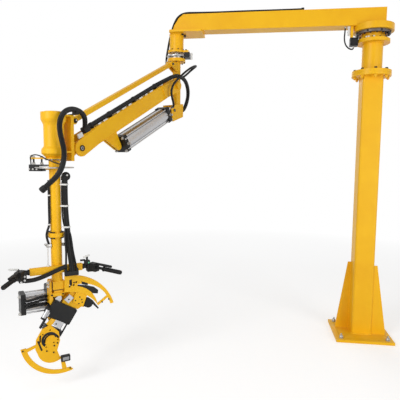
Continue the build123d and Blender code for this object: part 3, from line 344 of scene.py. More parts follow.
class Finish(Nodes):
    def __init__(self, name):
        self.material = bpy.data.materials.new(name)
        self.material.use_nodes = True
        super().__init__(self.material.node_tree)
        self.surface = self.tree.nodes["Principled BSDF"]
        self.place = Wire(self, self.node("ShaderNodeTexCoord", {}, {}).outputs["Object"])

    def noiseAt(self, place, scale, detail, rough):
        made = self.node("ShaderNodeTexNoise", {}, {"Vector": place, "Scale": scale, "Detail": detail,
                                                    "Roughness": rough})
        return Wire(self, made.outputs["Fac"])

    def noise(self, scale, detail, rough, stretch=None):
        place = self.place
        if stretch is not None:
            place = Wire(self, self.node("ShaderNodeVectorMath", {"operation": "MULTIPLY"},
                                         {0: place, 1: stretch}).outputs[0])
        return self.noiseAt(place, scale, detail, rough)

    def grained(self, axis, scale, shrink):
        # noise drawn out along an axis: the place's three shares, the one along the axis made small
        first, second, axis = squareTo(axis)
        x, y, z = [Wire(self, self.node("ShaderNodeVectorMath", {"operation": "DOT_PRODUCT"},
                                        {0: self.place, 1: tuple(a)}).outputs["Value"])
                   for a in (first, second, axis)]
        place = Wire(self, self.node("ShaderNodeCombineXYZ", {}, {0: x, 1: y, 2: z * shrink}).outputs[0])
        return self.noiseAt(place, scale, 4.0, 0.6)

    def upness(self):
        normal = Wire(self, self.node("ShaderNodeNewGeometry", {}, {}).outputs["Normal"])
        return Wire(self, self.node("ShaderNodeSeparateXYZ", {}, {0: normal}).outputs["Z"])

    def bump(self, height, distance, strength=1.0):
        made = self.node("ShaderNodeBump", {}, {"Height": height, "Distance": distance, "Strength": strength})
        self.tree.links.new(made.outputs[0], self.surface.inputs["Normal"])

    def feed(self, **sockets):
        for key, value in sockets.items():
            key = {"colour": "Base Color", "roughness": "Roughness", "metallic": "Metallic",
                   "coat": "Coat Weight", "coatRoughness": "Coat Roughness",
                   "specular": "Specular IOR Level"}[key]
            if isinstance(value, Wire):
                self.tree.links.new(value.socket, self.surface.inputs[key])
            else:
                self.surface.inputs[key].default_value = value
        return self.material


def shade(tone, share=1.0):
    return tuple(share * c for c in tone) + (1,)


def yellowPaint():
    look = {"colour": (0.900, 0.500, 0.008, 1), "deep": (0.840, 0.430, 0.005, 1),
            "pale": (0.930, 0.560, 0.015, 1), "scuff": (0.300, 0.170, 0.030, 1), "dust": (0.78, 0.56, 0.20, 1)}
    paint = Finish("yellowPaint")
    broad = paint.noise(2.3, 3, 0.6)
    cloud = paint.noise(11.0, 4, 0.6)
    colour = paint.mixed(broad.steep(0.35, 0.68), look["deep"], look["colour"])
    colour = paint.mixed(cloud.steep(0.55, 0.8) * 0.35, colour, look["pale"])
    runs = paint.noise(9.0, 4, 0.7, stretch=(1, 1, 0.12)).steep(0.62, 0.82)
    colour = paint.mixed(runs * 0.22, colour, look["deep"])
    specks = paint.noise(75.0, 5, 0.72).steep(0.70, 0.76) * paint.noise(5.0, 2, 0.5).steep(0.48, 0.66)
    colour = paint.mixed(specks * 0.7, colour, look["scuff"])
    dust = paint.upness().steep(0.6, 1.0) * cloud.steep(0.35, 0.7)
    colour = paint.mixed(dust * 0.15, colour, look["dust"])
    grain = paint.noise(420.0, 2, 0.5)
    paint.bump(grain * 0.5 + cloud * 0.6 - specks * 0.4, 0.0006, 0.35)
    return paint.feed(colour=colour, roughness=0.36 + cloud * 0.10 + dust * 0.20 + specks * 0.3, coat=0.04,
                      coatRoughness=0.20, specular=0.25)


def machinedSteel(name, tone, axis, roughness, metallic=1.0):
    # turned or ground steel, its marks drawn out across the axis
    steel = Finish(name)
    marks = steel.grained(axis, 260.0, 6.0)
    stain = steel.noise(14.0, 4, 0.65)
    colour = steel.mixed(stain.steep(0.45, 0.8) * 0.55, shade(tone), shade(tone, 0.62))
    steel.bump(marks, 0.0003, 0.25)
    return steel.feed(colour=colour, roughness=roughness - 0.06 + marks * 0.12 + stain * 0.10,
                      metallic=metallic)


def drawnAlloy(name, tone, axis, roughness=0.26):
    # an extruded barrel, with fine lines along the axis
    alloy = Finish(name)
    lines = alloy.grained(axis, 340.0, 0.01)
    patch = alloy.noise(9.0, 3, 0.6)
    colour = alloy.mixed(lines * 0.5, shade(tone), shade(tone, 0.80))
    colour = alloy.mixed(patch.steep(0.55, 0.8) * 0.3, colour, shade(tone, 0.70))
    alloy.bump(lines, 0.0002, 0.2)
    return alloy.feed(colour=colour, roughness=roughness + patch * 0.12, metallic=0.92)


def blackFinish(name, tone, roughness, grain, depth, coat=0.0, metallic=0.0):
    black = Finish(name)
    fine = black.noise(grain, 3, 0.6)
    broad = black.noise(12.0, 4, 0.6)
    colour = black.mixed(broad.steep(0.4, 0.8) * 0.6, (tone, tone, tone * 1.06, 1),
                         (tone * 2.1, tone * 2.05, tone * 2.0, 1))
    dust = black.upness().steep(0.5, 1.0) * broad.steep(0.4, 0.7)
    colour = black.mixed(dust * 0.18, colour, (0.16, 0.15, 0.13, 1))
    black.bump(fine, depth, 0.3)
    return black.feed(colour=colour, roughness=roughness + broad * 0.12 + dust * 0.15, coat=coat,
                      metallic=metallic, specular=0.22)


def paleFinish(name, tone):
    pale = Finish(name)
    cloud = pale.noise(60.0, 3, 0.6)
    colour = pale.mixed(cloud.steep(0.4, 0.8) * 0.4, shade(tone), shade(tone, 0.82))
    pale.bump(cloud, 0.0002, 0.3)
    return pale.feed(colour=colour, roughness=0.4 + cloud * 0.15)


finish = {
    "paint": yellowPaint(),
    "disc": machinedSteel("groundDisc", (0.45, 0.44, 0.42), upward, 0.32),
    "race": machinedSteel("bearingRace", (0.155, 0.135, 0.125), upward, 0.42, 0.85),
    "pin": machinedSteel("turnedPin", (0.30, 0.29, 0.28), armSide, 0.34),
    "rod": machinedSteel("chromedRod", (0.74, 0.74, 0.75), liftLine, 0.12),
    "zinc": machinedSteel("zincPlate", (0.42, 0.41, 0.39), upward, 0.36),
    "barrel": drawnAlloy("liftBarrelAlloy", (0.52, 0.52, 0.53), liftLine),
    "driveBarrel": drawnAlloy("driveBarrelAlloy", (0.52, 0.52, 0.53), barOut),
    "block": drawnAlloy("milledBlock", (0.48, 0.48, 0.49), toolUp, 0.34),
    "oxide": blackFinish("blackOxide", 0.012, 0.42, 500.0, 0.0002, metallic=0.2),
    "blackPaint": blackFinish("blackPaint", 0.008, 0.38, 380.0, 0.0004, coat=0.06),
    # also used for painted shade: the black sheets in the jaws' slots
    "plastic": blackFinish("blackPlasticAndPaintedSlotShade", 0.009, 0.46, 700.0, 0.0002),
    "rubber": blackFinish("hoseRubber", 0.007, 0.50, 420.0, 0.0003),
    "conduit": blackFinish("conduitPlastic", 0.008, 0.34, 300.0, 0.0001),
    # also used for painted highlights: the white bits on the tie washer and on the bundle head
    "white": paleFinish("whitePartsAndPaintedHighlights", (0.72, 0.72, 0.70)),
    "grey": paleFinish("greyWindow", (0.30, 0.31, 0.32)),
    "green": paleFinish("greenButton", (0.10, 0.42, 0.22)),
}
print("finishes made:", len(finish))

# ---- carried-over solids: finish, and edges softened by a bevel

dress = {
    "paint": ["base_plate", "column_tube", "column_gussets", "column_flange", "pedestal", "boom_turntable",
              "boom_beam", "elbow_plate", "elbow_spigot", "head_post", "cylinder_bracket", "arm_tube",
              "pivot_cap", "cylinder_gusset", "tie_rod", "knuckle_bracket", "swivel_housing", "caliper_bracket",
              "drop_tube", "handlebar", "hinge_block", "upper_jaw", "lower_jaw", "upper_carriage",
              "slewing_hub"],
    "race": ["slewing_ring"],
    "disc": ["elbow_disc", "wrist_disc"],
    "oxide": ["lower_carriage"],
    "pin": ["head_pins", "knuckle_pins"],
    "rod": ["lift_rod"],
    "barrel": ["lift_barrel"],
    "driveBarrel": ["tilt_barrel"],
    "block": ["side_cylinder"],
    "blackPaint": ["elbow_brake", "slew_brake", "wrist_caliper", "gripper_hood", "lift_caps", "tilt_caps"],
    "plastic": ["hand_controls", "jaw_knob", "sensor_box", "loop_saddle"],
    "rubber": ["hand_grips", "slew_hose", "boom_hose", "head_hose", "brake_hose", "hose_bundle",
               "handle_hose"],
    "conduit": ["elbow_loop", "knuckle_loop", "arm_conduit", "conduit_clips"],
}


def dressNode(name, material):
    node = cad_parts[name]
    if node.material_slots:
        for place in node.material_slots:
            place.material = material
    else:
        node.data.materials.append(material)
    node.data.polygons.foreach_set("use_smooth", np.ones(len(node.data.polygons), bool))
    weld = node.modifiers.new("weld", "WELD")
    weld.merge_threshold = 0.00001
    edge = node.modifiers.new("softEdge", "BEVEL")
    edge.limit_method = "ANGLE"
    edge.angle_limit = math.radians(35)
    edge.width = 0.0012
    edge.segments = 2
    edge.harden_normals = False
    flat = node.modifiers.new("flatFaces", "WEIGHTED_NORMAL")
    flat.keep_sharp = False
    flat.weight = 80


for look, names in dress.items():
    for name in names:
        dressNode(name, finish[look])
print("solids dressed")


def addPiece(name, body, look, *shapes, slot=None, sharp=35):
    points, faces = joined(shapes)
    mesh = bpy.data.meshes.new(name)
    mesh.from_pydata(points.tolist(), [], faces)
    mesh.polygons.foreach_set("use_smooth", np.ones(len(mesh.polygons), bool))
    mesh.set_sharp_from_angle(angle=math.radians(sharp))
    mesh.materials.append(finish[look])
    mesh.update()
    piece = bpy.data.objects.new(name, mesh)
    bpy.context.scene.collection.objects.link(piece)
    if body:
        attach(piece, body)
    return piece


def routeSpline(name, places):
    # the route's smooth line: a NURBS of order 3 through its own control points
    curve = bpy.data.curves.new(name, "CURVE")
    curve.dimensions = "3D"
    spline = curve.splines.new("NURBS")
    spline.points.add(len(places) - 1)
    spline.points.foreach_set("co", np.concatenate([places, np.ones((len(places), 1))], 1).ravel())
    spline.order_u = 3
    spline.use_endpoint_u = True
    spline.resolution_u = 24
    curve.resolution_u = 24
    return curve


def lineOf(name, places):
    curve = routeSpline(name, np.asarray(places, float))
    holder = bpy.data.objects.new(name + "Line", curve)
    bpy.context.scene.collection.objects.link(holder)
    bpy.context.view_layer.update()
    seen = bpy.data.meshes.new_from_object(holder.evaluated_get(bpy.context.evaluated_depsgraph_get()))
    points = np.zeros(len(seen.vertices) * 3)
    seen.vertices.foreach_get("co", points)
    bpy.data.objects.remove(holder)
    bpy.data.curves.remove(curve)
    bpy.data.meshes.remove(seen)
    return points.reshape(-1, 3)


def lengthOf(line):
    return float(np.linalg.norm(np.diff(line, axis=0), axis=1).sum())


# ---- camera at the photograph's place

camera = {"place": (-0.98304, -4.16422, 1.66149), "lens": 38.593, "sensor": 36, "azimuth": 7.894,
          "down": 5.5782, "roll": -0.5402}
azimuthCos, azimuthSin = cosSin(camera["azimuth"])
downCos, downSin = cosSin(camera["down"])
rollCos, rollSin = cosSin(camera["roll"])
ahead = np.array([-azimuthSin * downCos, azimuthCos * downCos, -downSin])
level = np.array([azimuthCos, azimuthSin, 0.0])
under = np.cross(ahead, level)
cameraRight = level * rollCos + under * rollSin
cameraDown = under * rollCos - level * rollSin
lensData = bpy.data.cameras.new("photoCamera")
lensData.lens = camera["lens"]
lensData.sensor_width = camera["sensor"]
lensData.clip_end = 60
photoCamera = bpy.data.objects.new("photoCamera", lensData)
bpy.context.scene.collection.objects.link(photoCamera)
turned = Matrix(np.stack([cameraRight, -cameraDown, -ahead], 1).tolist()).to_4x4()
photoCamera.matrix_world = Matrix.Translation(Vector(camera["place"])) @ turned
bpy.context.scene.camera = photoCamera
print("camera set")

# ---- hoses and conduits, each on the route that its solid has

hoses = {
    "slew_hose": {"body": "boom", "diameter": 12, "far": "object", "route": onColumn([
        (-252, -40, 2847.7), (-254, -41, 2794), (-258, -42, 2742), (-248, -42, 2694), (-224, -41, 2662),
        (-196, -40, 2648), (-175, -40, 2650), (-175, -40, 2674.7)])},
    "boom_hose": {"body": "boom", "diameter": 20, "far": "connector", "route": onColumn([
        (-640, -52, 3008.3), (-900, -50, 3008.3), (-1160, -57, 3008.3), (-1400, -51, 3008.3), (-1600, -56, 3010),
        (-1720, -54, 3014), (-1784, -46, 2980), (-1826, -8, 2926), (-1861, 58, 2880), (-1877, 66, 2831),
        (-1886, 58, 2780), (-1896, 44, 2706), (-1908, 44, 2640), (-1911, 38, 2590)])},
    "head_hose": {"body": "head", "diameter": 20, "far": "object", "route": onArm([
        (46.6, 140, 2136), (68, 140, 2136), (88, 172, 2168), (106, 226, 2226), (112, 238, 2276), (115, 212, 2330),
        (120, 152, 2384), (124, 88, 2432), (126, 20, 2478), (126, -60, 2524), (120, -140, 2556),
        (100, -196, 2566), (64, -204, 2552), (36, -180, 2520), (16, -130, 2472), (0, -84, 2442),
        (0, -39.5, 2442)])},
    "brake_hose": {"body": "knuckle", "diameter": 8, "far": "object", "route": onWrist([
        (-163, -22, 1606.3), (-163, -22, 1630.5), (-156, -44, 1664), (-112, -62, 1676), (-60, -86, 1668),
        (-16, -104, 1650), (30, -116, 1634), (70, -120, 1620), (100.3, -120, 1612)])},
    "handle_hose": {"body": "drop", "diameter": 30, "far": "object", "route": onDrop([
        (52, 82, 900), (20, 78, 886), (-20, 78.6, 872), (-72, 78.6, 852), (-128, 80, 834), (-184, 84, 825),
        (-226, 86, 828)])},
}


def layCord(skin, name, hose, length, **more):
    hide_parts(name)
    hose["diameter"] / 1000


connectorTip = hoses["boom_hose"]["route"][-1]
boomConnector = addPiece("boomConnector", "boom", "zinc", hexRows(
    connectorTip, connectorTip - hoses["boom_hose"]["route"][-2],
    [(0, 10.8, -12), (0, 11.5, -11), (0, 11.5, 4), (1, 9.5, 5), (1, 9.5, 14), (0, 7, 15), (0, 7, 19)]))
for name, hose in hoses.items():
    curve = routeSpline(name + "Skin", hose["route"])
    curve.bevel_depth = hose["diameter"] / 2000
    curve.bevel_resolution = 5
    curve.use_fill_caps = True
    curve.materials.append(finish["rubber"])
    skin = bpy.data.objects.new(name + "Skin", curve)
    bpy.context.scene.collection.objects.link(skin)
    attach(skin, hose["body"])
    layCord(skin, name, hose, lengthOf(lineOf(name, hose["route"])),
            with_pieces=[boomConnector] if name == "boom_hose" else [])

bundle = {"diameter": 40, "strands": 5, "strand": 8.5, "ring": 11.5, "firstTurn": 18, "far": "object",
          "route": onDrop([(60, 34, 1530), (59, 32, 1415), (60, 33, 1300), (64, 42, 1200), (70, 54, 1105),
                           (74, 68, 1025), (79, 78, 955), (84, 83.7, 905), (88, 83.6, 860)])}
bundleLine = lineOf("bundle", bundle["route"])
strandTurns = np.radians(bundle["firstTurn"]) + np.arange(bundle["strands"]) * 2 * np.pi / bundle["strands"]
bundleSkin = addPiece("hose_bundleSkin", "drop", "rubber", *[
    hoseShape(bundleLine + bundle["ring"] / 1000 * (math.cos(u) * barOut + math.sin(u) * barFront), 10,
              bundle["strand"]) for u in strandTurns], sharp=60)
layCord(bundleSkin, "hose_bundle", bundle, lengthOf(bundleLine), path=bundleLine.tolist())

armTop = 77
conduit = {"radius": 18, "skin": 18.6, "depth": 2.8, "pitch": 7.8, "high": armTop + 23, "start": 270, "end": 1215}
loopEnd = onArm(110, 1655.1, 1443.5)
loopBoot = addPiece("loopBoot", "knuckle", "rubber", lathe(loopEnd, loopEnd - onArm(150, 1612.1, 1497.5), [
    (19.2, -30), (21.5, -28), (22.5, -6), (21.5, 4), (16, 9), (12, 9.5)]))
loops = {
    "elbow_loop": {"bodies": ("main_arm", "head"), "blend": (onArm(86, 240, 2379), onArm(85, 105, 2425)),
                   "far": "object", "pieces": [], "route": np.concatenate([
                       onSlope([(30, 270, 100), (38, 235, 101), (62, 185, 106)]),
                       onArm([(86, 240, 2379), (87, 175, 2408), (85, 105, 2425), (80, 32, 2424), (66, -38, 2412),
                              (44, -105, 2390), (24, -160, 2346), (10, -186, 2290), (2, -180, 2230),
                              (1, -145, 2165), (0, -98, 2120), (0, -46.6, 2120)])])},
    "knuckle_loop": {"bodies": ("main_arm", "knuckle"),
                     "blend": (onArm(48, 1224.1, 1861.5), onArm(82, 1258.1, 1961.5)),
                     "far": "fitting", "pieces": [loopBoot], "route": onArm(np.array([
                         (48, -39, 136), (60, -37, 190), (82, -5, 236), (100, 65, 264), (122, 155, 264),
                         (136, 229, 230), (144, 267, 168), (146, 267, 100), (146, 249, 34), (147, 234, -26),
                         (153, 245, -90), (163, 275, -146), (165, 313, -190), (150, 349, -228),
                         (110, 392, -282)]) + (0, lowOut, lowZ))},
}
for name, loop in loops.items():
    line = lineOf(name, loop["route"])
    skin = addPiece(name + "Skin", None, "conduit",
                    ribbedTube(line, conduit["skin"], conduit["depth"], conduit["pitch"]), sharp=60)
    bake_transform(skin)
    layCord(skin, name, {**loop, "diameter": 2 * conduit["radius"]}, lengthOf(line), path=line.tolist(),
            with_pieces=loop["pieces"])
conduitLine = onSlope(30, np.linspace(conduit["start"], conduit["end"], 60), conduit["high"])
armConduit = addPiece("armConduitSkin", "main_arm", "conduit",
                      ribbedTube(conduitLine, conduit["radius"], conduit["depth"], conduit["pitch"]), sharp=60)
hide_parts("arm_conduit")
slopeAxes = (armSlope, armSide, armNormal)
addPiece("conduitJunction", "main_arm", "plastic",
         boxShape(onSlope(42, 1234, armTop + 21.5), slopeAxes, (28, 24, 21.5), 6))
addPiece("loopGland", "head", "plastic", lathe(onArm(0, -46.3, 2120), -armOut, [(23, 0), (23, 14), (19.5, 18)]))
addPiece("hoseGlands", "head", "zinc", nipple(onArm(46.5, 140, 2136), armSide, 12, 10, 10.8, 16, -0.5),
         nipple(onArm(0, -37.5, 2442), -armOut, 13, 10, 10.8, 16, -0.5))
addPiece("boomClamp", "boom", "plastic", boxShape(onColumn(-632, -52, 3008.8), np.eye(3), (12, 15, 11), 2))
print("hoses laid")

# ---- foot and column: anchors, flange bolts, weld beads

foot = {"anchor": 205, "top": 25, "nut": 30, "side": 90, "corner": 20, "gussetSide": 64, "gussetHalf": 6.5,
        "gussetReach": 213, "gussetHigh": 678, "columnTop": 2408, "bead": 4, "pipe": 89.5}
addPiece("anchorNuts", "base", "zinc", *[
    hexNut(onColumn(x * foot["anchor"], y * foot["anchor"], foot["top"]), upward, foot["nut"], 18)
    for x, y in ((-1, -1), (1, -1), (1, 1), (-1, 1))])
columnBeads = [weldBead(roundedSquare(foot["side"] + 1, foot["corner"], z), size)
               for z, size in ((foot["top"] + 1, 6), (foot["columnTop"] - 1, 5))]
gussetEdges = [(way, side * foot["gussetHalf"] - way * foot["gussetSide"]) for way in (-1, 1) for side in (-1, 1)]
gussetBeads = [weldBead(onColumn([(way * a, y, low), (way * b, y, high)]), foot["bead"]) for a, b, low, high in (
    (foot["side"] + 1, foot["side"] + 1, 30, foot["gussetHigh"]), (foot["side"], foot["gussetReach"], 26, 26))
    for way, y in gussetEdges]
pipeBeads = [weldBead(circleLine(onColumn(0, 0, z), upward, foot["pipe"]), 4.5) for z in (2458.5, 2700.5)]
addPiece("columnWelds", "base", "paint", *columnBeads, *gussetBeads, *pipeBeads, sharp=60)
flange = {"radius": 145, "top": 2458, "low": 2408, "bolt": 24}
addPiece("flangeBolts", "base", "oxide", *[hexBolt(p, upward, flange["bolt"]) for p in ringOf(
    onColumn(0, 0, flange["top"]), upward, flange["radius"], 8)])
addPiece("flangeNuts", "base", "paint", *[hexNut(p, -upward, flange["bolt"], 6) for p in ringOf(
    onColumn(0, 0, flange["low"]), upward, flange["radius"], 8)])

# ---- slewing ring: screws under the ring and round the hub, stops, brake fittings

slew = {"ringLow": 2776, "ringMiddle": 2788, "ring": 150, "hubFoot": 2731}
addPiece("ringScrews", "boom", "oxide", *[socketBolt(p, -upward, 7) for p in ringOf(
    onColumn(0, 0, slew["ringLow"]), upward, 134, 16)])
ringMiddle = onColumn(0, 0, slew["ringMiddle"])
addPiece("ringPlugs", "boom", "oxide", *[lathe(p, p - ringMiddle, [(9, -3), (9, 3), (7.5, 4.5)], 24)
                                         for p in ringOf(ringMiddle, upward, slew["ring"], 8, 238.7)])
addPiece("hubScrews", "base", "oxide", *[socketBolt(p, upward, 8) for p in ringOf(
    onColumn(0, 0, slew["hubFoot"]), upward, 124, 12, 15)])
addPiece("flangeFittings", "base", "white", *[
    nipple(onColumn(134 * turn[0], 134 * turn[1], slew["hubFoot"]), upward, 8, 9, 6, 13, -0.5)
    for turn in map(cosSin, (233, 241.5, 260))])
addPiece("slewStops", "boom", "oxide", *[
    lathe(onColumn(x, -120, slew["ringLow"]), -upward, [(8, -1), (8, 23), (6.5, 26)], 20) for x in (75, 100)])
beam = {"low": 2849, "high": 2998, "half": 75}
noseLine = onColumn([(-1822, beam["half"], beam["low"]), (-1809.4, beam["half"], 2893),
                     (-1764.25, beam["half"], 2963), (-1717, beam["half"], beam["high"])])
plateLine = onColumn([(-1820, 76.5, beam["low"]), (-1545, 76.5, beam["low"])])
addPiece("beamWelds", "boom", "paint", *[weldBead(line * (1, side, 1), size) for line, size in (
    (noseLine, 2.5), (plateLine, 4)) for side in (-1, 1)], sharp=60)
addPiece("slewFittings", "boom", "white", hexRows(onColumn(-220, -40, 2847.5), -upward, [
    (1, 12, 0), (1, 12, 16), (0, 9, 17), (0, 9, 38), (1, 12.5, 39), (1, 12.5, 56), (0, 10, 58), (0, 10, 78)]))
addPiece("slewHoseNuts", "boom", "zinc", nipple(onColumn(-252, -40, 2847.8), -upward, 8.5, 10, 6.8, 15),
         nipple(onColumn(-175, -40, 2675.2), -upward, 8.5, 10, 6.8, 13))
addPiece("slewBrakeBolts", "boom", "oxide", *[socketBolt(onColumn(x, -70.2, z), (0, -1, 0), 6)
                                              for x in (-197, -153) for z in (2688, 2734)])
addPiece("brakeHanger", "boom", "paint",
         boxShape(onColumn(-195, -40, 2796.7), np.eye(3), (11.5, 16.5, 50.5), 2))
print("column and slewing ring done")

# ---- elbow: plate bolts, spigot flange studs, disc screws, brake fittings

elbowSize = {"plateLow": 2828, "spigotLow": 2680, "flangeLow": 2660, "headLow": 2575, "stud": 75.5, "bolts": 81}
addPiece("elbowPlateBolts", "boom", "oxide", *[
    hexBolt(onElbow(elbowSize["bolts"] * x, elbowSize["bolts"] * y, elbowSize["plateLow"]), -upward, 18)
    for x, y in map(cosSin, (-37, -7, 23))])
addPiece("spigotWelds", "boom", "paint", *[weldBead(circleLine(onElbow(0, 0, z), upward, 67.2), 4)
                                           for z in (elbowSize["plateLow"], elbowSize["spigotLow"])], sharp=60)
topStuds, lowStuds = [ringOf(onElbow(0, 0, elbowSize[key]), upward, elbowSize["stud"], 8, start)
                      for key, start in (("spigotLow", 22), ("flangeLow", 232))]
addPiece("spigotStuds", "boom", "oxide", *[hexNut(p, upward, 11, 3) for p in topStuds],
         *[socketBolt(p, -upward, 5.5) for p in lowStuds if p[0] < -1.735 and p[1] < -0.03],
         *[hexBolt(onElbow(95, y, elbowSize["spigotLow"]), upward, 16) for y in (-22, 22)])
addPiece("headPlateScrews", "head", "oxide", *[socketBolt(p, -upward, 6) for p in ringOf(
    onElbow(0, 0, elbowSize["headLow"]), upward, 76, 8, 10)])
addPiece("brakeConnector", "boom", "white", lathe(onColumn(-1650.5, -20, 2594), upward, [
    (6, 0), (8.5, 4), (8.5, 22), (6.5, 24), (6.5, 32), (8.5, 34), (8.5, 58), (7, 61)], 24),
    lathe(onColumn(-1667.5, -20, 2640), (1, 0, 0), [(6, 0), (6, 14)], 20))
print("elbow done")

# ---- pins: a dark ring, a grey face in it and the greaser in the middle; shares of the pin's radius, heights

pinParts = {
    "Rings": ("oxide", 40, [(1.1, -0.5), (1.1, 2.2), (0.74, 2.2), (0.72, -0.2)]),
    "Faces": ("pin", 40, [(0.68, -0.3), (0.68, 1.0), (0.62, 1.6)]),
    "Greasers": ("oxide", 20, [(0.26, 1.0), (0.26, 3.2), (0.16, 4.5)]),
}


def pinPair(offset, out, z, radius):
    return [(onArm(side * offset, out, z), armSide * side, radius) for side in (-1, 1)]


pinEnds = {
    "head": pinPair(66, rig["pivotOut"], rig["pivotZ"], 20)[:1] +
            pinPair(35.5, rig["pivotOut"] + rig["linkOut"], rig["pivotZ"] + rig["linkUp"], 10) +
            pinPair(51.3, rig["eyeOut"], rig["eyeZ"], 12),
    "knuckle": pinPair(66, lowOut, lowZ, 20) + pinPair(35.5, lowOut + rig["linkOut"], lowZ + rig["linkUp"], 10),
}
for body, ends in pinEnds.items():
    for part, (look, sides, profile) in pinParts.items():
        addPiece(body + "Pin" + part, body, look, *[
            lathe(place, axis, [(share * radius, high) for share, high in profile], sides)
            for place, axis, radius in ends])
tieWasher = onArm(37.5, lowOut + rig["linkOut"], lowZ + rig["linkUp"])
addPiece("tieWasher", "knuckle", "oxide", lathe(tieWasher, armSide, [(16.5, -1.5), (16.5, 5.5), (14.5, 7.5)]))
# painted highlight: a small white disc on the dark washer, set up and out from its middle, stands for the glint
# on it
addPiece("tieWasherHighlight", "knuckle", "white", lathe(tieWasher + upward * 0.004 - armOut * 0.002, armSide, [
    (6, 7), (6, 9.5), (4.5, 10.5)], 20))
print("pins done")

# ---- arm: white clips along the conduit, stop pad, weld beads

clipPlaces = ((215, 12), (385, 20), (465, 14), (545, 22), (700, 18), (780, 24), (860, 16), (1020, 22), (1090, 16))
addPiece("armClips", "main_arm", "white", *[
    boxShape(onSlope(50, s, armTop + 5.5), slopeAxes, (half, 4, 6), 2) for s, half in clipPlaces],
    slot="black_plastic")
addPiece("stopPad", "main_arm", "white", boxShape(onSlope(55, 1313.2, 86.3), slopeAxes, (24, 7.6, 16.8), 2),
         slot="black_plastic")
addPiece("armWelds", "main_arm", "paint", *[
    weldBead(onSlope([(side * w, start, t), (side * w, end, t)]), size) for w, start, end, heights, size in (
        (55, 205, 1175, (armTop - 0.5, -46.5), 2.2), (22.5, 928, 1071, (-47.5,), 3))
    for side in (-1, 1) for t in heights], sharp=60)

# ---- balancing cylinder: nuts on its caps, ports and the rod's gland

lift = {"capStart": 38, "frontEnd": 720, "bolt": 56, "half": 70, "nut": 19}
addPiece("liftCapNuts", "barrel", "zinc", *[
    hexNut(onLift(x * lift["bolt"], y * lift["bolt"], d), liftLine * way, lift["nut"], 4)
    for d, way in ((lift["capStart"], -1), (lift["frontEnd"], 1)) for x in (-1, 1) for y in (-1, 1)])
addPiece("liftPorts", "barrel", "zinc", *[hexRows(onLift(lift["half"], 0, d), armSide, [
    (1, 11, -1), (1, 11, 10), (0, 8, 11), (0, 8, 24), (0, 9.5, 25), (0, 9.5, 31)]) for d in (58, 700)])
addPiece("liftCapScrews", "barrel", "white", *[socketBolt(onLift(lift["half"], t, d), armSide, 5)
                                               for t in (-42, 42) for d in (50, 68)])
addPiece("rodGland", "barrel", "block", lathe(onLift(0, 0, lift["frontEnd"]), liftLine, [
    (34, -1), (34, 6), (28, 10), (17.5, 11), (16.8, 8)], 40))
print("arm and cylinder done")

# ---- wrist: housing cover, caliper posts' nuts and fittings

wrist = {"high": 1966, "postFoot": 1606, "plateLow": 1645, "plateHigh": 1655, "posts": (-94, -154)}
addPiece("housingCover", "knuckle", "paint", lathe(onWrist(0, 0, wrist["high"]), upward, [
    (62, -1), (62, 4), (58, 6), (20, 6.5), (12, 10)], 48))
addPiece("postNuts", "knuckle", "zinc",
         *[hexNut(onWrist(x, 0, wrist["postFoot"]), upward, 19, 1) for x in wrist["posts"]],
         *[hexBolt(onWrist(x, 0, wrist["plateHigh"]), upward, 17) for x in wrist["posts"]])
addPiece("wristFitting", "knuckle", "white", hexRows(onWrist(-172, -4, 1638), upward, [
    (0, 7, 0), (1, 8.5, 2), (1, 8.5, 18), (0, 7, 19), (0, 7, 27), (0, 9, 28), (0, 9, 36)]))
addPiece("caliperScrews", "knuckle", "zinc", *[socketBolt(onWrist(x, -34.8, 1574), (0, -1, 0), 6)
                                               for x in (-166, -140, -112)])
addPiece("carrierBolts", "knuckle", "zinc", *[hexBolt(p, -upward, 13) for p in ringOf(
    onWrist(0, 0, wrist["plateLow"]), upward, 58, 8, -80)])
print("wrist done")

# ---- drop tube: collar bolts, straps and strands of the bundle, side hose, clamp

collar = {"high": 1130, "low": 1100, "radius": 47.5, "turns": (146, 119, 53, 26, -34, -61, -127, -154)}
barAxes = (barOut, barFront, upward)


def collarPlaces(z):
    return [onDrop(collar["radius"] * x, collar["radius"] * y, z) for x, y in map(cosSin, collar["turns"])]


addPiece("collarBolts", "drop", "oxide", *[hexBolt(p, upward, 13) for p in collarPlaces(collar["high"])],
         *[hexNut(p, -upward, 12, 3) for p in collarPlaces(collar["low"])])


def atHeight(line, z):
    order = np.argsort(line[:, 2])
    return np.array([np.interp(z / 1000, line[order, 2], line[order, n]) for n in (0, 1)] + [z / 1000])


strapOut = (barOut * 20 + barFront * 14) / math.hypot(20, 14)
strapAxes = (strapOut, np.cross(upward, strapOut), upward)
addPiece("bundleStraps", "drop", "white", *[
    boxShape(atHeight(bundleLine, z) - strapOut * 0.0045, strapAxes, (25.5, 21, 6.5), 5)
    for z in (1469, 1318, 1169)], slot="black_plastic")
sideStrands = (
    (7, [(72, 58, 1160), (84, 66, 1120), (90, 74, 1060), (95, 80, 1000), (110, 83, 920), (121, 83, 850)]),
    (7, [(52, 58, 1160), (46, 68, 1100), (47, 76, 1050), (49, 81, 1000), (46, 84, 920), (44, 84, 850)]),
    (4.5, [(56, 30, 1520), (42, 22, 1492), (40, 20, 1440), (40, 20, 1360), (40, 20, 1280), (42, 24, 1220),
           (52, 36, 1160), (66, 50, 1120)]))
addPiece("sideStrands", "drop", "rubber", *[hoseShape(lineOf("strand", onDrop(route)), 8, radius)
                                            for radius, route in sideStrands], sharp=60)
addPiece("hoseManifold", "drop", "plastic", boxShape(onDrop(83, 82.3, 843), barAxes, (47, 18.8, 16), 3),
         *[nipple(onDrop(x, y, 858), upward, 9.5, 12, 8.5, 18) for x, y in ((121, 83), (44, 84))])
bundleCoil = circleLine(onDrop(68, 36, 1526), barFront, 17, upward)
addPiece("bundleHead", "drop", "rubber", tubeShape(bundleCoil, 14, 14),
         boxShape(onDrop(58, 34, 1512), barAxes, (22, 18, 16), 6))
# painted highlight: the small white piece on the black bundle head stands for the glint on it
addPiece("bundleHeadHighlight", "drop", "white",
         hexRows(onDrop(74, 48, 1534), barFront, [(1, 6, -4), (1, 6, 6), (0, 4, 8)]))
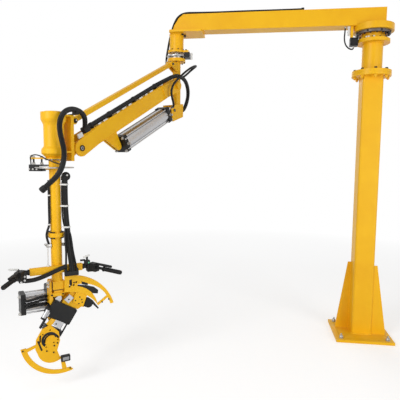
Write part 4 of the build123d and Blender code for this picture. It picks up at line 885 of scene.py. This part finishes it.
sideLine = lineOf("side", onDrop([
    (-46, 18, 1500), (-47, 17, 1460), (-46, 18, 1400), (-47, 17, 1320), (-47, 18, 1240), (-47, 17, 1185),
    (-68, 22, 1135), (-69, 22, 1095), (-54, 18, 1052)]))
addPiece("sideHose", "drop", "rubber", hoseShape(sideLine, 6, 8, 14), sharp=60)
addPiece("sideTies", "drop", "white", *[ringBand(atHeight(sideLine, z), upward, 8.2, 9, 1.4, 24)
                                        for z in (1395, 1190)], slot="black_plastic")
addPiece("tubeClamp", "drop", "zinc", boxShape(onDrop(-54, 14, 1040), barAxes, (17, 11, 12), 2),
         boxShape(onDrop(46, 12, 1041), barAxes, (8, 10, 11), 2),
         nipple(onDrop(-66, 14, 1044), -barOut * 0.88 + upward * 0.47, 9, 10, 6, 19))
rodLine = np.linspace(onDrop(-62, 18, 1032), onDrop(-69, 46, 902), 12)
addPiece("tubeRod", "drop", "zinc", tubeShape(rodLine, 3.2, 12), sharp=60)
addPiece("tubeNut", "drop", "white", nipple(onDrop(-69, 47, 899.5), upward, 10, 9, 7, 18))
print("drop tube done")

# ---- handlebar: end sleeves, control clusters, levers, buttons, ribbed grips

bar = {"ends": ((-1, -191.5, -233.8), (1, 165.5, 207.8)), "front": 50.8, "high": 875, "forward": 276,
       "out": 147, "fall": 4, "lever": 82, "leverUp": 27}
addPiece("barSleeves", "drop", "plastic", *[lathe(onDrop(h, bar["front"], bar["high"]), barOut * way, [
    (20, 0.5), (20, 12), (16.5, 14), (16.5, 24), (19, 26), (19, 34)]) for way, h, root in bar["ends"]])
clusters = [((-240, 66, 850), (25, 30, 34), 6), ((-252, 80, 888), (16, 20, 14), 4),
            ((217, 64, 864), (22, 26, 28), 6), ((196, 72, 906), (20, 14, 16), 4), ((166, 70, 924), (18, 8, 6), 3)]
addPiece("controlClusters", "drop", "plastic", *[boxShape(onDrop(place), barAxes, half, corner)
                                                 for place, half, corner in clusters])
addPiece("leverPosts", "drop", "plastic",
         lathe(onDrop(-262, 86, 898), -barOut * 0.45 + upward * 0.89, [(7.5, 0), (7.5, 16)], 20),
         lathe(onDrop(196, 74, 918), upward, [(7.5, 0), (7.5, 28), (6, 31)], 20))
whiteLevers = [((-298, 90, 915), 0.99, -0.10, (30, 8, 6)), ((192, 76, 951), 0.95, 0.31, (24, 8, 5))]
addPiece("whiteLevers", "drop", "white", *[
    boxShape(onDrop(place), (barOut * along + upward * rise, barFront, upward * along - barOut * rise), half, 3)
    for place, along, rise, half in whiteLevers], slot="black_plastic")
addPiece("clusterNuts", "drop", "white", *[
    hexRows(onDrop(place), barFront, [(1, 6.5, -3), (1, 6.5, 6), (0, 4, 8)])
    for place in ((-246, 100.2, 889), (-230, 96.2, 861), (-252, 96.2, 826), (-230, 96.2, 836))])
addPiece("greenButton", "drop", "green", lathe(onDrop(206, 85.8, 905), barFront, [(7, -2), (7, 5), (5.5, 7)], 24))
gripRibs, leverCovers = [], []
for way, h, root in bar["ends"]:
    bend = onDrop(root, bar["front"], bar["high"])
    end = onDrop(root + way * bar["out"], bar["front"] + bar["forward"], bar["high"] - bar["fall"])
    leg = (end - bend) / np.linalg.norm(end - bend)
    gripRibs += [ringBand(end - leg * d, leg, 13.9, 5, 1.4, 28) for d in np.linspace(0.004, 0.144, 14)]
    gripRibs.append(lathe(end - leg * 0.152, leg, [(10.5, -4), (18.5, -3), (18.5, 1), (13.8, 2)]))
    leverCovers.append(lathe(bend + (leg * bar["lever"] + upward * bar["leverUp"]) / 1000, leg, [
        (5.5, -1), (8.5, 3), (9.5, 80), (9, 147), (6, 151)], 24))
addPiece("gripRibs", "drop", "rubber", *gripRibs, slot="rubber_grip")
addPiece("leverCovers", "drop", "plastic", *leverCovers)
print("handlebar done")

# ---- hinge block and tilt drive: seams, nuts, hoses over the barrel

addPiece("hingeSeams", "drop", "oxide", boxShape(onDrop(2.5, 38.2, 720.5), barAxes, (41.5, 1, 2.2), 0.5),
         boxShape(onDrop(-40.5, 38.2, 750), barAxes, (1.6, 1, 31), 0.5),
         *[socketBolt(onDrop(h, 38, 688), barFront, 6) for h in (-46, 30)])
addPiece("hingeNuts", "drop", "white", *[nipple(onDrop(-56.8, 6, z), -barOut, 9, 9, 7, 18) for z in (746, 770)])
drive = {"end": -238, "front": -78, "back": -178, "bolts": (548, 672)}
addPiece("driveNuts", "drop", "zinc",
         *[hexNut(onDrop(drive["end"], drive["front"], z), -barOut, 19, 3) for z in drive["bolts"]],
         *[lathe(onDrop(drive["end"], drive["back"], z), -barOut, [(7.8, -1), (7.8, 2), (7, 2.6)], 24)
           for z in drive["bolts"]])
driveRoutes = [
    [(-212, -66, 644), (-206, -54, 642), (-176, -51, 644), (-140, -51, 652), (-100, -52, 660), (-72, -54, 662),
     (-61, -58, 658)],
    [(-212, -66, 618), (-206, -54, 617), (-176, -52, 622), (-138, -50, 626), (-100, -51, 636), (-72, -54, 634),
     (-61, -58, 630)],
    [(-212, -66, 592), (-206, -54, 592), (-176, -50, 598), (-138, -52, 602), (-100, -50, 606), (-72, -54, 606),
     (-61, -58, 604)]]
addPiece("driveHoses", "drop", "rubber",
         *[hoseShape(lineOf("drive", onDrop(route)), 6, 9.5) for route in driveRoutes], sharp=60)
print("tilt drive done")

# ---- gripper: milled blocks, lever, guards behind the jaws' windows, screws, sensor window

def faceScrews(name, body, o, places):
    addPiece(name, body, "oxide", *[socketBolt(onTool(x, y, o), barFront, 5) for x, y in places])


def faceHoles(name, body, places):
    addPiece(name, body, "oxide", *[lathe(onTool(x, y, o), barFront, [(r, -1), (r, 0.6)], 24)
                                    for x, y, o, r in places])


faceScrews("hoodScrews", "gripper", 45.5, ((-80, -58), (-80, 40), (83, -58), (83, 40)))
# painted shade: thin black sheets on the jaws' faces, shaped like their slots, stand for the shade inside the
# slots
slotArc = {"middle": (19, -207), "outer": 57, "inner": 41, "start": 48, "end": 262}
padTurn = np.radians(np.linspace(slotArc["start"], slotArc["end"], 24))
slotShade = np.concatenate([
    np.stack([np.cos(turn), np.sin(turn)], 1) * radius + slotArc["middle"]
    for radius, turn in ((slotArc["outer"], padTurn), (slotArc["inner"], padTurn[::-1]))])
plates = {
    "milledBlock": ("gripper", "block", [([(-32, 79), (10, 67), (24, 117), (-18, 129)], 26.2, 44)]),
    "milledWedge": ("gripper", "block", [([(-88, 55), (-87, 72), (-70, 104), (-44, 75), (-46, 53)], 4, 30)]),
    "yellowLever": ("gripper", "paint", [([(-128, 54), (-112, 68), (-90, 40), (-92.5, 4), (-102, 10)], 0, 22)]),
    "slideBlock": ("lower_jaw_slide", "block", [([(-14, -66), (49, -64), (46, -118), (-18, -104)], 46.5, 55.5)]),
    "slideGuide": ("lower_jaw_slide", "paint", [
        ([(-50, -70), (-16, -68), (-20, -106), (-34, -124), (-62, -118)], 46.5, 55)]),
    # painted shade: the black sheets in the jaws' slots
    "upperJawSlotShade": ("gripper", "plastic", [([(6, 247), (56, 254), (64, 241), (19, 229)], 55, 57)]),
    "lowerJawSlotShade": ("lower_jaw_slide", "plastic", [
        (slotShade, 55, 57.2, 0.6), ([(-56, -248), (-48, -240), (12, -289), (6, -299)], 55, 57.2)]),
    "upperGuards": ("gripper", "blackPaint", [
        ([(0, 196), (6, 214), (60, 234), (120, 247), (160, 240), (170, 216), (120, 196), (104, 190), (18, 186)],
         30, 44.5),
        ([(-84, 196), (-62, 234), (-8, 240), (-12, 192), (-40, 184)], 39.5, 45.5),
        ([(119, 163), (163, 156), (238, 124), (232, 115), (171, 133), (122, 150)], 28, 40)]),
    "lowerGuard": ("lower_jaw_slide", "blackPaint", [
        ([(-60, -171), (78, -171), (80, -190), (66, -222), (34, -272), (-42, -268), (-60, -240)], 34, 45.5)]),
}
for name, (body, look, shapes) in plates.items():
    addPiece(name, body, look, *[prism(*shape) for shape in shapes])
addPiece("sideRods", "gripper", "oxide", *[
    lathe(onTool(x, -66, 20), -toolUp, [(r, 0), (r, reach), (r * 0.8, reach + 2)], 20)
    for x, r, reach in ((86, 6, 98), (-74, 9, 100))])
faceHoles("blockHoles", "gripper", ((-3, 94, 44, 5.5), (44, 105, 45.7, 5), (78, 96, 45.7, 5), (82, 130, 45.7, 5),
                                    (60, 140, 45.7, 5), (96, 114, 45.7, 5)))
faceHoles("slideHole", "lower_jaw_slide", ((2, -92, 55.5, 5.5),))
faceScrews("upperJawScrews", "gripper", 55.8, ((-38, 217), (-51, 178), (228, 176), (262, 214)))
faceScrews("lowerJawScrews", "lower_jaw_slide", 55.8, (
    (80, -207), (69, -232), (41, -284), (91, -276), (-110, -340), (262, -338)))
windowCos, windowSin = cosSin(32)
addPiece("sensorWindow", "lower_jaw_slide", "grey", boxShape(onTool(186, -280, 84.8), (
    toolAcross * windowCos + toolUp * windowSin, toolUp * windowCos - toolAcross * windowSin, barFront),
    (22, 12, 1.2), 0.8))
addPiece("sideCylinderEnds", "gripper", "plastic", *[
    lathe(onTool(-104, y, 62), toolUp, [(16.5, 0), (16.5, 12), (14.5, 14)]) for y in (-96, -22)])
print("gripper done")

# ---- floor, backdrop, light

stageSize = {"floor": 30, "tone": (0.80, 0.80, 0.80, 1), "glow": 0.38, "middle": (-1.2, -0.6, 0), "near": 3.2,
             "far": 6.5, "sky": (0.45, 0.45, 0.45, 1)}
ground = Finish("paleFloor")
ground.feed(colour=stageSize["tone"], roughness=0.8, specular=0.0)
plain = Wire(ground, ground.surface.outputs[0])
glow = ground.shader("ShaderNodeEmission", {"Color": (1, 1, 1, 1), "Strength": stageSize["glow"]})
near = ground.shader("ShaderNodeAddShader", {0: plain, 1: glow})
white = ground.shader("ShaderNodeEmission", {"Color": (1, 1, 1, 1), "Strength": 1.0})
reach = ground.node("ShaderNodeVectorMath", {"operation": "DISTANCE"}, {0: ground.place, 1: stageSize["middle"]})
away = Wire(ground, reach.outputs["Value"]).steep(stageSize["near"], stageSize["far"])
shown = ground.shader("ShaderNodeMixShader", {0: away, 1: near, 2: white})
whole = ground.shader("ShaderNodeMixShader", {0: ground.seenDirectly(), 1: plain, 2: shown})
ground.tree.links.new(whole.socket, ground.tree.nodes["Material Output"].inputs[0])
floorMesh = bpy.data.meshes.new("floor")
floorMesh.from_pydata([(x * stageSize["floor"], y * stageSize["floor"], 0)
                       for x, y in ((-1, -1), (1, -1), (1, 1), (-1, 1))], [], [(0, 1, 2, 3)])
floorMesh.materials.append(ground.material)
floor = bpy.data.objects.new("floor", floorMesh)
bpy.context.scene.collection.objects.link(floor)

world = bpy.data.worlds.new("studio")
bpy.context.scene.world = world
world.use_nodes = True
sky = Nodes(world.node_tree)
tone = sky.mixed(sky.seenDirectly(), stageSize["sky"], (1, 1, 1, 1))
sky.tree.links.new(tone.socket, sky.tree.nodes["Background"].inputs["Color"])

lamps = {"keyLamp": {"place": (-4.6, -5.6, 3.2), "aim": (-1.6, -0.5, 1.5), "size": 2.6, "power": 165},
         "fillLamp": {"place": (3.6, -5.2, 1.8), "aim": (-1.0, -0.4, 1.5), "size": 3.0, "power": 145},
         "backLamp": {"place": (-1.0, 4.5, 4.6), "aim": (-1.2, -0.2, 1.8), "size": 3.0, "power": 55}}
for name, lamp in lamps.items():
    data = bpy.data.lights.new(name, "AREA")
    data.size, data.energy = lamp["size"], lamp["power"]
    light = bpy.data.objects.new(name, data)
    bpy.context.scene.collection.objects.link(light)
    light.location = lamp["place"]
    light.rotation_mode = "QUATERNION"
    light.rotation_quaternion = (Vector(lamp["aim"]) - Vector(lamp["place"])).to_track_quat("-Z", "Y")
bpy.context.scene.view_settings.view_transform = "Standard"
print("stage lit")
